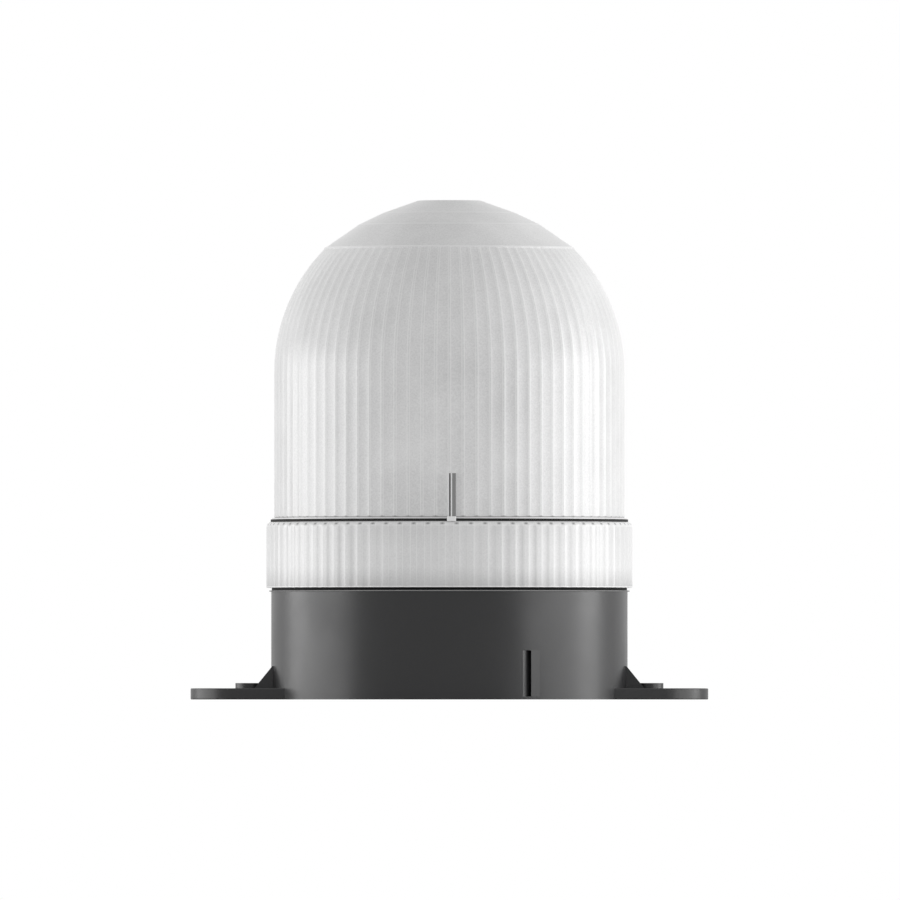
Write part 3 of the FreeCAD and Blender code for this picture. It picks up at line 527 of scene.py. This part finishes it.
def metal_lines_group():
    """Metal: drawn lines along one direction, with duller patches."""
    group, start, final = new_group(
        "metal_lines",
        [("Colour", "NodeSocketColor", (0.6, 0.6, 0.6, 1.0)),
         ("Stretch", "NodeSocketVector", (1.0, 1.0, 0.05)),
         ("Roughness", "NodeSocketFloat", 0.35)],
        [("Colour", "NodeSocketColor"),
         ("Roughness", "NodeSocketFloat"),
         ("Height", "NodeSocketFloat")])
    link = group.links.new
    place = add_node(group, "ShaderNodeTexCoord", -900, -300).outputs["Object"]
    squeeze = add_node(group, "ShaderNodeMapping", -700, -100)
    link(place, squeeze.inputs["Vector"])
    link(start.outputs["Stretch"], squeeze.inputs["Scale"])
    lines = noise(group, -500, 0, squeeze.outputs["Vector"], 4000.0, detail=4.0)
    patch = noise(group, -500, -300, place, 220.0)
    shade = stretch(group, -250, -100, patch, (0.3, 0.7), (0.86, 1.08))
    grey = grey_of(group, -50, -100, shade)
    colour = mix_colour(group, 200, 100, "MULTIPLY", 1.0, start.outputs["Colour"], grey)
    link(colour, final.inputs["Colour"])
    spread = stretch(group, -250, -350, lines, (0.3, 0.7), (-0.1, 0.1))
    rough = math_node(group, "ADD", 200, -300, start.outputs["Roughness"], spread)
    link(rough, final.inputs["Roughness"])
    link(lines, final.inputs["Height"])
    return group


def principled(material):
    return next(node for node in material.node_tree.nodes if node.type == "BSDF_PRINCIPLED")


def new_finish(name, group, x, **values):
    """A material whose shader is fed by one of the shared effects, with its values set."""
    material = bpy.data.materials.new(name)
    material.use_nodes = True
    tree, shader = material.node_tree, principled(material)
    effect = add_node(tree, "ShaderNodeGroup", x, 0)
    effect.node_tree = bpy.data.node_groups[group]
    for title, value in values.items():
        effect.inputs[title].default_value = value
    tree.links.new(effect.outputs["Colour"], shader.inputs["Base Color"])
    return material, tree, shader, effect


def wire_finish(tree, shader, effect, depth, strength):
    """Wires an effect's roughness and its height, as bump, to the shader."""
    bump = add_node(tree, "ShaderNodeBump", -250, -300)
    bump.inputs["Distance"].default_value = depth
    bump.inputs["Strength"].default_value = strength
    tree.links.new(effect.outputs["Height"], bump.inputs["Height"])
    tree.links.new(bump.outputs["Normal"], shader.inputs["Normal"])
    tree.links.new(effect.outputs["Roughness"], shader.inputs["Roughness"])


def plastic(name, colour, roughness=0.4, grain=3000.0, variation=0.08,
            depth=0.02 * MM, strength=0.4):
    material, tree, shader, effect = new_finish(
        name, "moulded_grain", -550,
        Colour=(*colour, 1.0), Grain=grain, Variation=variation, Roughness=roughness)
    wire_finish(tree, shader, effect, depth, strength)
    return material


def metal(name, colour, roughness=0.35, lines=(1.0, 1.0, 0.05)):
    material, tree, shader, effect = new_finish(
        name, "metal_lines", -550, Colour=(*colour, 1.0), Stretch=lines, Roughness=roughness)
    shader.inputs["Metallic"].default_value = 1.0
    wire_finish(tree, shader, effect, depth=0.01 * MM, strength=0.4)
    return material


def rubber(name):
    material = plastic(name, finish().seal, roughness=0.6, grain=5000.0)
    principled(material).inputs["Specular IOR Level"].default_value = RUBBER_GLOSS
    return material


def frosted_plastic():
    """Frosted clear plastic: painted highlights on slopes, ridges and edges, painted shade at the
    collar's foot and in dark spots and lines, a fine speckle.
    """
    material, tree, shader, effect = new_finish(
        "beacon_frosted", "moulded_grain", -1100,
        Colour=(*finish().frosted, 1.0), Grain=2300.0, Variation=0.1, Roughness=0.33)
    colour = effect.outputs["Colour"]
    # Each mask paints light or shade into the colour: highlights on flanks and ridges, shade and
    # dark marks elsewhere
    for x, y, name, tone in ((-900, -1000, "flank", LIT_TONE), (-750, -400, "ridge", LIT_TONE),
                             (-600, -800, "shade", DUSK_TONE), (-400, -600, "shade_mark", SHADE_MARK_TONE)):
        colour = mix_colour(tree, x, 0, "MIX", mask(tree, y, name), colour, tone)
    tree.links.new(colour, shader.inputs["Base Color"])
    wire_finish(tree, shader, effect, depth=0.03 * MM, strength=0.35)
    shader.inputs["IOR"].default_value = 1.49
    return material


def gasket_rubber():
    """Black rubber with a painted highlight in grey on its thin lip, which stands in the light."""
    material = rubber("gasket_rubber")
    tree, colour = material.node_tree, principled(material).inputs["Base Color"]
    lip_highlight = mix_colour(tree, -250, 200, "MIX", mask(tree, 300, "lip"),
                      colour.links[0].from_socket, LIP_HIGHLIGHT_TONE)
    tree.links.new(lip_highlight, colour)
    return material


# The beacon's pieces
class BEACON_OT_materials(bpy.types.Operator):
    """Makes the shared effects and gives the carried-over parts their finishes"""
    bl_idname = "beacon.materials"
    bl_label = "Finishes"

    def execute(self, context):
        moulded_grain_group()
        metal_lines_group()
        frosted_plastic()
        gasket_rubber()
        seal = rubber("seal_rubber")
        board = plastic("white_board", (0.74, 0.76, 0.74), roughness=0.35, grain=9000.0)
        grey = plastic("terminal_plastic", (0.25, 0.27, 0.28), roughness=0.45)
        pale = plastic("carrier_plastic", (0.72, 0.72, 0.70), roughness=0.5)
        black = plastic("chip_black", (0.02, 0.02, 0.02), roughness=0.35)
        steel = metal("zinc_steel", (0.62, 0.63, 0.65), roughness=0.3)
        brass = metal("brass", (0.78, 0.58, 0.25), roughness=0.25)
        tower = metal("extruded_metal", (0.77, 0.78, 0.79), roughness=0.4)
        can = metal("capacitor_can", (0.6, 0.61, 0.63), roughness=0.3)
        copper = metal("copper_wire", (0.75, 0.34, 0.14), roughness=0.3, lines=(0.02, 0.02, 1.0))
        ferrite = plastic("ferrite", (0.05, 0.05, 0.055), roughness=0.6, variation=0.2)
        blue = plastic("varistor_blue", (0.05, 0.14, 0.42), roughness=0.3)
        lamp = plastic("lamp_phosphor", finish().lamp, roughness=0.3, grain=6000.0)
        base = plastic("base_plastic", finish().base, roughness=0.34, grain=2600.0,
                       variation=0.12, depth=0.03 * MM, strength=0.3)
        dressing = {
            base: ["base_housing"],
            seal: ["mounting_gasket", "cable_grommet"],
            board: ["terminal_board", "driver_board", "top_board"],
            grey: ["terminal_block", "contact_block"],
            pale: ["module_carrier"],
            black: ["driver_chip", "bridge_rectifier"],
            steel: ["board_screws", "terminal_screws", "carrier_screws", "driver_screws",
                    "tower_screws"],
            brass: ["terminal_clamps", "contact_springs", "contact_arcs"],
            tower: ["heat_sink_tower"],
            can: ["filter_capacitor"],
            copper: ["choke_winding"],
            ferrite: ["choke_core"],
            blue: ["surge_varistor"],
            lamp: ["top_lamps"],
        }
        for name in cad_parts:
            if name.startswith("strip_board"):
                dressing[board].append(name)
            elif name.startswith("strip_lamps"):
                dressing[lamp].append(name)
        for material, names in dressing.items():
            for name in names:
                give(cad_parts[name], material)
        return {"FINISHED"}


class BEACON_OT_collar(bpy.types.Operator):
    """Models the fluted collar with its rounded top edge, shelf, skirt and bayonet tabs"""
    bl_idname = "beacon.collar"
    bl_label = "Collar"

    def execute(self, context):
        first = FRONT + 180.0 / sizes().flutes
        radius = sizes().collar_radius
        arc = sizes().collar_round
        shares = flute_shares(radius, sizes().collar_rib)
        wall = fluted(radius, shares)
        floor, top = COLLAR_FLOOR, COLLAR_TOP

        # Rings up the face, each with how much painted shade it gets: most at the foot, a little at
        # the top
        dusk = ((30.34 * MM, 0.31), (32.0 * MM, 0.19), (33.6 * MM, 0.085), (35.4 * MM, 0.0),
                (40.5 * MM, 0.0), (44.0 * MM, 0.05), (top - arc, 0.07))
        foot = capped(wall, radius - COLLAR_EDGE)
        piece = add_ring("collar_shell", foot, floor, first)
        steps = [(wall, floor + COLLAR_EDGE), (wall, COLLAR_LINE)]
        steps += [(wall, level) for level, _ in dusk]
        for angle in COLLAR_LEANS:
            lean = math.radians(angle)
            ring = radius - arc + arc * math.cos(lean)
            steps.append((capped(wall, ring), top - arc + arc * math.sin(lean)))
        steps += [
            (plain(COLLAR_BORE), top),
            (plain(COLLAR_BORE), top - BAYONET_THICKNESS),
            (plain(COLLAR_BORE), SHELF_TOP),
            (plain(SKIRT_BORE), SHELF_TOP),
            (plain(SKIRT_BORE), SKIRT_FOOT),
            (plain(SKIRT_OUTER), SKIRT_FOOT),
            (plain(SKIRT_OUTER), SKIRT_TAB_FLOOR),
            (plain(SKIRT_OUTER), SKIRT_TAB_FLOOR + BAYONET_THICKNESS),
            (plain(SKIRT_OUTER), floor),
            (foot, floor),
        ]
        grow(piece, first, floor, steps)
        raise_tabs(piece, SKIRT_TAB_FLOOR, SKIRT_OUTER, SKIRT_TAB_REACH, TAB_SWEEP)
        raise_tabs(piece, top - BAYONET_THICKNESS, COLLAR_BORE, COLLAR_HOOK_REACH, HOOK_SWEEP)
        end(piece)
        # Painted shade: dark spots at the ribs where the flutes run out on the rounded top edge
        shade_mark_level, shade_mark_half, shade_mark_steps = top - 0.65 * MM, 0.36 * MM, 3.5
        bright_steps = 4

        def shade_mark_at(p):
            if across(p) < radius - arc + 0.1 * MM:
                return 0.0
            spot = max(0.0, 1.0 - flute_place(p, first) / shade_mark_steps)
            return spot * fade(p.z, shade_mark_level, shade_mark_half)

        # Painted highlights: a light tone over the collar's face, and light dashes on its foot
        # edge, strongest at the ribs
        def painted_highlight_at(p):
            if across(p) < COLLAR_FACE:
                return 0.0
            if p.z > COLLAR_LINE + NEAR:
                return COLLAR_LIGHT
            return 1.0 if flute_place(p, first) < bright_steps else 0.5

        def dusk_at(p):
            if across(p) < COLLAR_FACE:
                return 0.0
            return next((shade for level, shade in dusk if abs(p.z - level) < NEAR), 0.0)

        # Painted highlight on the slope beside each rib
        def flank_at(face):
            lit = across(face.center) > COLLAR_FACE and on_flank(face, first, shares)
            return FLANK_LIGHT if lit else 0.0
        paint(piece, "shade_mark", shade_mark_at)
        paint(piece, "ridge", painted_highlight_at)
        paint(piece, "shade", dusk_at)
        paint_faces(piece, "flank", flank_at)
        give(piece, bpy.data.materials["beacon_frosted"])
        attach(piece, "light_module")
        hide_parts("collar")
        return {"FINISHED"}


class BEACON_OT_gaskets(bpy.types.Operator):
    """Models the two rubber rings, with a thin lip under the collar and plain over it"""
    bl_idname = "beacon.gaskets"
    bl_label = "Gaskets"

    def ring(self, name, outline, material, body, node):
        """A round ring on a section of radii and heights."""
        radius, seat = outline[0]
        piece = add_ring(name, plain(radius), seat, FRONT)
        section = outline[1:] + outline[:1]
        grow(piece, FRONT, seat, [(plain(reach), level) for reach, level in section])
        end(piece)
        give(piece, bpy.data.materials[material])
        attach(piece, body)
        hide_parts(node)
        return piece

    def lower(self):
        """The seal on the base, whose lip shows under the collar."""
        inner, neck, wall, lip = 43.95 * MM, 47.55 * MM, 47.75 * MM, 48.25 * MM
        low, seat, high, top = 28.88 * MM, 29.2 * MM, 29.16 * MM, 29.9 * MM
        edge, bevel = 0.05 * MM, 0.06 * MM
        outline = [(inner, seat), (wall, seat), (wall, low), (lip - bevel, low),
                   (lip, low + edge), (lip, high - edge), (lip - bevel, high),
                   (wall + 0.04 * MM, high), (neck, high + 0.1 * MM), (neck, top), (inner, top)]
        piece = self.ring("seal_ring", outline, "gasket_rubber", "light_module", "base_seal")
        # The mask where the grey painted highlight goes on the lip
        paint(piece, "lip", lambda p: 1.0 if across(p) > lip - 0.1 * MM else 0.0)

    def upper(self):
        """The seal between the collar and the dome's flange."""
        inner, outer, edge = 45.15 * MM, 47.85 * MM, 0.05 * MM
        low, high = COLLAR_TOP, FLANGE_FLOOR
        outline = [(inner, low), (outer - edge, low), (outer, low + edge),
                   (outer, high - edge), (outer - edge, high), (inner, high)]
        self.ring("dome_seal_ring", outline, "seal_rubber", "dome_body", "dome_seal")

    def execute(self, context):
        self.lower()
        self.upper()
        return {"FINISHED"}


class BEACON_OT_dome(bpy.types.Operator):
    """Models the fluted dome with its faceted cap, flange, skirt and index rib"""
    bl_idname = "beacon.dome"
    bl_label = "Dome"

    def wall_steps(self, shares, crown):
        """Rings from under the cap down the outside, round the flange and skirt, and up inside."""
        radius, centre = sizes().dome_radius, sizes().dome_centre
        ring, level = on_dome(radius + SHOULDER_PROUD, crown + SHOULDER_TURN)
        steps = [(plain(ring), level)]
        start = crown + FLUTES_TURN
        for index in range(DOME_BANDS + 1):
            ring, level = on_dome(radius, start + (90.0 - start) * index / DOME_BANDS)
            steps.append((fluted(ring, shares), level))
        top, floor = FLANGE_TOP, FLANGE_FLOOR
        tab_top = COLLAR_TOP - DOME_TAB_DROP
        tab_floor = tab_top - BAYONET_THICKNESS
        skirt_foot = tab_floor - DOME_SKIRT_TAIL
        steps += [
            (fluted(radius, shares), top + 0.6 * MM),
            (fluted(radius, shares), top + 0.3 * MM),
            (fluted(radius - 0.12 * MM, shares), top + 0.16 * MM),
            (plain(radius - 0.2 * MM), top + 0.04 * MM),
            (plain(FLANGE_RADIUS - FLANGE_EDGE), top),
            (plain(FLANGE_RADIUS), top - FLANGE_EDGE),
            (plain(FLANGE_RADIUS), floor),
            (plain(DOME_SKIRT), floor),
            (plain(DOME_SKIRT), tab_top),
            (plain(DOME_SKIRT), tab_floor),
            (plain(DOME_SKIRT), skirt_foot),
            (plain(DOME_BORE), skirt_foot),
            (plain(DOME_BORE), centre),
        ]
        for angle in CEILING_ANGLES:
            ring, level = on_dome(DOME_BORE, angle)
            steps.append((plain(ring), level))
        return steps

    def cap_steps(self, lip_radius, lip_level, crown):
        """Rings of the faceted cap, close together at its corners, and the lines by the corners
        that get a painted highlight.
        """
        rim = on_dome(sizes().dome_radius, crown)[0] - 0.15 * MM
        rim_level = lip_level + 0.02 * MM
        steps = [(plain(lip_radius - 0.12 * MM), lip_level + 0.08 * MM), (plain(rim), rim_level)]
        corners = [on_dome(reach, angle) for angle, reach in CAP_CORNERS]
        points = [(rim, rim_level), *corners, (0.0, corners[-1][1])]
        lit_lines = []
        for before, corner, after in zip(points, points[1:], points[2:]):
            for distance, lit in ((-0.4, False), (-0.2, True), (0.2, True), (0.4, False)):
                other = before if distance < 0.0 else after
                run, rise = other[0] - corner[0], other[1] - corner[1]
                part = abs(distance) * MM / math.hypot(run, rise)
                ring, level = corner[0] + run * part, corner[1] + rise * part
                steps.append((plain(ring), level))
                if lit:
                    lit_lines.append((ring, level))
        return steps, lit_lines

    def shell(self):
        """The dome itself, with its masks."""
        radius, centre = sizes().dome_radius, sizes().dome_centre
        crown = math.degrees(sizes().crown_angle)
        shares = flute_shares(radius, sizes().dome_rib)
        lip_radius, lip_level = on_dome(radius + LIP_PROUD, crown + LIP_TURN)
        piece = add_ring("dome_shell", plain(lip_radius), lip_level, FRONT)
        level = grow(piece, FRONT, lip_level, self.wall_steps(shares, crown))
        close_at(centre + DOME_BORE - level)
        pick(piece, lambda vert: abs(vert.co.z - lip_level) < MERGE)
        steps, lit_lines = self.cap_steps(lip_radius, lip_level, crown)
        grow(piece, FRONT, lip_level, steps)
        bpy.ops.mesh.edge_face_add()
        tab_floor = COLLAR_TOP - DOME_TAB_DROP - BAYONET_THICKNESS
        raise_tabs(piece, tab_floor, DOME_SKIRT, DOME_TAB_REACH, TAB_SWEEP)
        end(piece)
        outer = radius - 1.0 * MM
        top = FLANGE_TOP

        # Painted highlights: lines at the cap's corners, a line round the lip and the flange's edge
        def painted_highlight_at(p):
            if p.z > lip_level - 0.3 * MM:
                if any(abs(across(p) - ring) + abs(p.z - line) < 2 * NEAR
                       for ring, line in lit_lines):
                    return CORNER_LIGHT
                on_lip = p.z < lip_level + 0.09 * MM and across(p) > lip_radius - 0.2 * MM
                return 1.0 if on_lip else 0.0
            on_flange = across(p) > FLANGE_RADIUS - 0.1 * MM and p.z < top - 0.03 * MM
            return 1.0 if on_flange else 0.0

        # Painted highlight on the slope beside each rib
        def flank_at(face):
            point = face.center
            away = math.hypot(point.x, point.y, max(0.0, point.z - centre))
            on_wall = away > outer and top + 0.25 * MM < point.z < lip_level - 0.2 * MM
            return FLANK_LIGHT if on_wall and on_flank(face, FRONT, shares) else 0.0

        # Painted shade: a dark line just over the flange and dark spots at the foot of each rib
        def shade_mark_at(p):
            if across(p) < outer:
                return 0.0
            line = 0.85 * fade(p.z, top + 0.1 * MM, 0.11 * MM)
            spot = max(0.0, 1.0 - flute_place(p, FRONT) / 4.0)
            return max(line, 0.7 * spot * fade(p.z, top + 0.25 * MM, 0.25 * MM))
        paint(piece, "ridge", painted_highlight_at)
        paint(piece, "shade_mark", shade_mark_at)
        # The rib's painted shade is stored on faces, and pieces that join need the same kind of
        # mask
        paint_faces(piece, "shade", lambda face: 0.0)
        paint_faces(piece, "flank", flank_at)
        return piece

    def rib(self):
        """The upright rib: a left edge and a second edge with painted highlights, a groove and a
        face with painted shade.
        """
        front, root = -48.3, -46.0
        left, right = -0.34, 1.75
        bed = front + 0.5
        outline = [(left, root), (left, front + 0.1), (-0.28, front), (-0.12, front), (-0.1, bed),
                   (0.28, bed), (0.34, front + 0.1), (0.4, front), (0.71, front),
                   (right - 0.04, front), (right, front + 0.05), (right, root)]
        piece = outline_prism("index_rib", outline, FLANGE_TOP, RIB_TOP)
        end(piece, sharp_angle=12.0)
        groove_left, groove_right, face_left = -0.12 * MM, 0.32 * MM, 0.72 * MM

        # Painted shade in the groove, on the front face and on the right side face
        def shade_at(face):
            x = face.center.x
            if abs(face.normal.z) > 0.5:
                return 0.0
            if groove_left < x < groove_right:
                return 0.8
            if face_left < x:
                return 0.8 if face.normal.y < -0.9 else 0.6
            return 0.0

        # Painted highlights on the left edge and on the strip between the groove and the face
        def painted_highlight_at(p):
            lit = p.x < groove_left + NEAR or groove_right + NEAR < p.x < face_left
            return 1.0 if lit else 0.0
        paint_faces(piece, "shade", shade_at)
        paint(piece, "ridge", painted_highlight_at)
        return piece

    def foot(self):
        """The short foot under the rib, which reaches down over the seal."""
        left, right, front, root, bevel = -0.64, 1.75, -48.9, -48.3, 0.12
        outline = [(left, root), (left, front + bevel), (left + bevel, front),
                   (right - bevel, front), (right, front + bevel), (right, root)]
        piece = outline_prism("index_foot", outline, FLANGE_TOP - 1.1 * MM, FLANGE_TOP)
        pick_faces(piece, lambda face: face.normal.z > 0.9)
        bpy.ops.mesh.inset(thickness=0.05 * MM)
        bpy.ops.mesh.extrude_region_move(
            TRANSFORM_OT_translate={"value": (0.0, 0.0, bevel * MM)})
        end(piece, sharp_angle=25.0)
        # Painted highlight over the whole foot
        paint(piece, "ridge", lambda p: 0.9)
        return piece

    def bridge(self):
        """The small block between the rib's foot and the dome's wall."""
        left, right, front, root, bevel = -0.64, 1.75, -48.9, -46.2, 0.1
        outline = [(left, root), (left, front + bevel), (left + bevel, front),
                   (right - bevel, front), (right, front + bevel), (right, root)]
        piece = outline_prism("index_bridge", outline, FLANGE_TOP, FLANGE_TOP + 0.2 * MM)
        end(piece, sharp_angle=25.0)
        # Painted highlight over the whole block
        paint(piece, "ridge", lambda p: 0.9)
        return piece

    def execute(self, context):
        piece = self.shell()
        additions = [self.rib(), self.foot(), self.bridge()]
        bpy.ops.object.select_all(action="DESELECT")
        for part in additions:
            part.select_set(True)
        piece.select_set(True)
        context.view_layer.objects.active = piece
        bpy.ops.object.join()
        give(piece, bpy.data.materials["beacon_frosted"])
        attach(piece, "dome_body")
        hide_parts("dome")
        return {"FINISHED"}


class BEACON_OT_studio(bpy.types.Operator):
    """Builds the pale floor, the even world, three softboxes and the camera"""
    bl_idname = "beacon.studio"
    bl_label = "Studio"

    def world(self, scene):
        """Plain white where it is seen, mirrored or shines through, and dimmer as a light."""
        world = bpy.data.worlds.new("studio")
        scene.world = world
        world.use_nodes = True
        tree = world.node_tree
        tree.nodes.clear()
        path = add_node(tree, "ShaderNodeLightPath", -800, 200)
        seen = math_node(tree, "MAXIMUM", -550, 200,
                         path.outputs["Is Camera Ray"], path.outputs["Is Glossy Ray"])
        seen = math_node(tree, "MAXIMUM", -350, 150, seen, path.outputs["Is Transmission Ray"])
        even = add_node(tree, "ShaderNodeBackground", -350, 0)
        even.inputs["Strength"].default_value = studio().ambient
        white = add_node(tree, "ShaderNodeBackground", -350, -150)
        for shader in (even, white):
            shader.inputs["Color"].default_value = (1.0, 1.0, 1.0, 1.0)
        mixed = add_node(tree, "ShaderNodeMixShader", -100, 50)
        for socket, source in zip(mixed.inputs, (seen, even.outputs[0], white.outputs[0])):
            tree.links.new(source, socket)
        output = add_node(tree, "ShaderNodeOutputWorld", 150, 50)
        tree.links.new(mixed.outputs[0], output.inputs["Surface"])

    def floor(self):
        """A matt floor that fades to white away from the beacon."""
        bpy.ops.object.select_all(action="DESELECT")
        bpy.ops.mesh.primitive_circle_add(vertices=128, radius=1.5, fill_type="NGON")
        piece = bpy.context.active_object
        piece.name = "studio_floor"
        material = bpy.data.materials.new("studio_floor")
        material.use_nodes = True
        tree, shader = material.node_tree, principled(material)
        shader.inputs["Base Color"].default_value = (0.93, 0.93, 0.93, 1.0)
        shader.inputs["Roughness"].default_value = 0.9
        shader.inputs["Specular IOR Level"].default_value = 0.0
        place = add_node(tree, "ShaderNodeTexCoord", -900, -200)
        reach = add_node(tree, "ShaderNodeVectorMath", -700, -200, operation="LENGTH")
        tree.links.new(place.outputs["Object"], reach.inputs[0])
        away = stretch(tree, -500, -200, reach.outputs["Value"], (0.16, 0.6), (0.0, 1.0))
        path = add_node(tree, "ShaderNodeLightPath", -700, -400)
        seen = math_node(tree, "MULTIPLY", -300, -300, away, path.outputs["Is Camera Ray"])
        glow = add_node(tree, "ShaderNodeEmission", -300, -500)
        mixed = add_node(tree, "ShaderNodeMixShader", 300, 0)
        for socket, source in zip(mixed.inputs, (seen, shader.outputs[0], glow.outputs[0])):
            tree.links.new(source, socket)
        output = next(node for node in tree.nodes if node.type == "OUTPUT_MATERIAL")
        tree.links.new(mixed.outputs[0], output.inputs["Surface"])
        give(piece, material)

    def softbox(self, name, side, brightness, width, height, level):
        """A large light at one metre, aimed at the beacon, at an angle from the camera's side."""
        turn = math.radians(side)
        place = Vector((math.sin(turn), -math.cos(turn), level))
        bpy.ops.object.light_add(type="AREA", location=place)
        lamp = bpy.context.active_object
        lamp.name = name
        lamp.data.name = name
        lamp.data.shape = "RECTANGLE"
        lamp.data.size = width
        lamp.data.size_y = height
        lamp.data.energy = brightness * math.pi * width * height
        aim = Vector((0.0, 0.0, 60.0 * MM))
        lamp.rotation_euler = (aim - place).to_track_quat("-Z", "Y").to_euler()
        lamp.visible_camera = False

    def camera(self, scene):
        """The camera, level with the mounting face and aimed at the middle of the beacon."""
        shift = 0.16 * MM
        place = Vector((shift, -studio().camera_distance, 0.0))
        aim = Vector((shift, 0.0, 66.8 * MM))
        bpy.ops.object.camera_add(location=place)
        camera = bpy.context.active_object
        camera.name = "camera"
        camera.rotation_euler = (aim - place).to_track_quat("-Z", "Y").to_euler()
        camera.data.sensor_width = 36.0
        camera.data.lens = camera.data.sensor_width * (aim - place).length / studio().view_width
        camera.data.clip_end = 100.0
        scene.camera = camera

    def execute(self, context):
        scene = context.scene
        scene.view_settings.view_transform = "Standard"
        self.world(scene)
        self.floor()
        self.softbox("left_softbox", side=-95.0, brightness=studio().left_light,
                     width=1.1, height=0.2, level=0.1)
        self.softbox("right_softbox", side=102.0, brightness=studio().right_light,
                     width=0.35, height=0.42, level=0.22)
        self.softbox("side_softbox", side=78.0, brightness=studio().side_light,
                     width=1.2, height=0.2, level=0.1)
        self.camera(scene)
        return {"FINISHED"}


class BEACON_PT_panel(bpy.types.Panel):
    """Lists the steps that build the beacon"""
    bl_idname = "BEACON_PT_panel"
    bl_label = "Dome beacon"
    bl_space_type = "VIEW_3D"
    bl_region_type = "UI"
    bl_category = "Beacon"

    def draw(self, context):
        scene = context.scene
        for step in STEPS:
            self.layout.operator(step.bl_idname)
        for group in (scene.beacon_sizes, scene.beacon_finish, scene.beacon_studio):
            box = self.layout.box()
            for key in group.__annotations__:
                box.prop(group, key)


STEPS = [BEACON_OT_materials, BEACON_OT_collar, BEACON_OT_gaskets, BEACON_OT_dome,
         BEACON_OT_studio]
CLASSES = [BeaconSizes, BeaconFinish, BeaconStudio, *STEPS, BEACON_PT_panel]


def register():
    for item in CLASSES:
        bpy.utils.register_class(item)
    bpy.types.Scene.beacon_sizes = bpy.props.PointerProperty(type=BeaconSizes)
    bpy.types.Scene.beacon_finish = bpy.props.PointerProperty(type=BeaconFinish)
    bpy.types.Scene.beacon_studio = bpy.props.PointerProperty(type=BeaconStudio)


def unregister():
    del bpy.types.Scene.beacon_studio
    del bpy.types.Scene.beacon_finish
    del bpy.types.Scene.beacon_sizes
    for item in reversed(CLASSES):
        bpy.utils.unregister_class(item)


def main():
    register()
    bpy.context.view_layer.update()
    bpy.ops.beacon.materials()
    bpy.ops.beacon.collar()
    bpy.ops.beacon.gaskets()
    bpy.ops.beacon.dome()
    bpy.ops.beacon.studio()


if __name__ == "__main__":
    main()
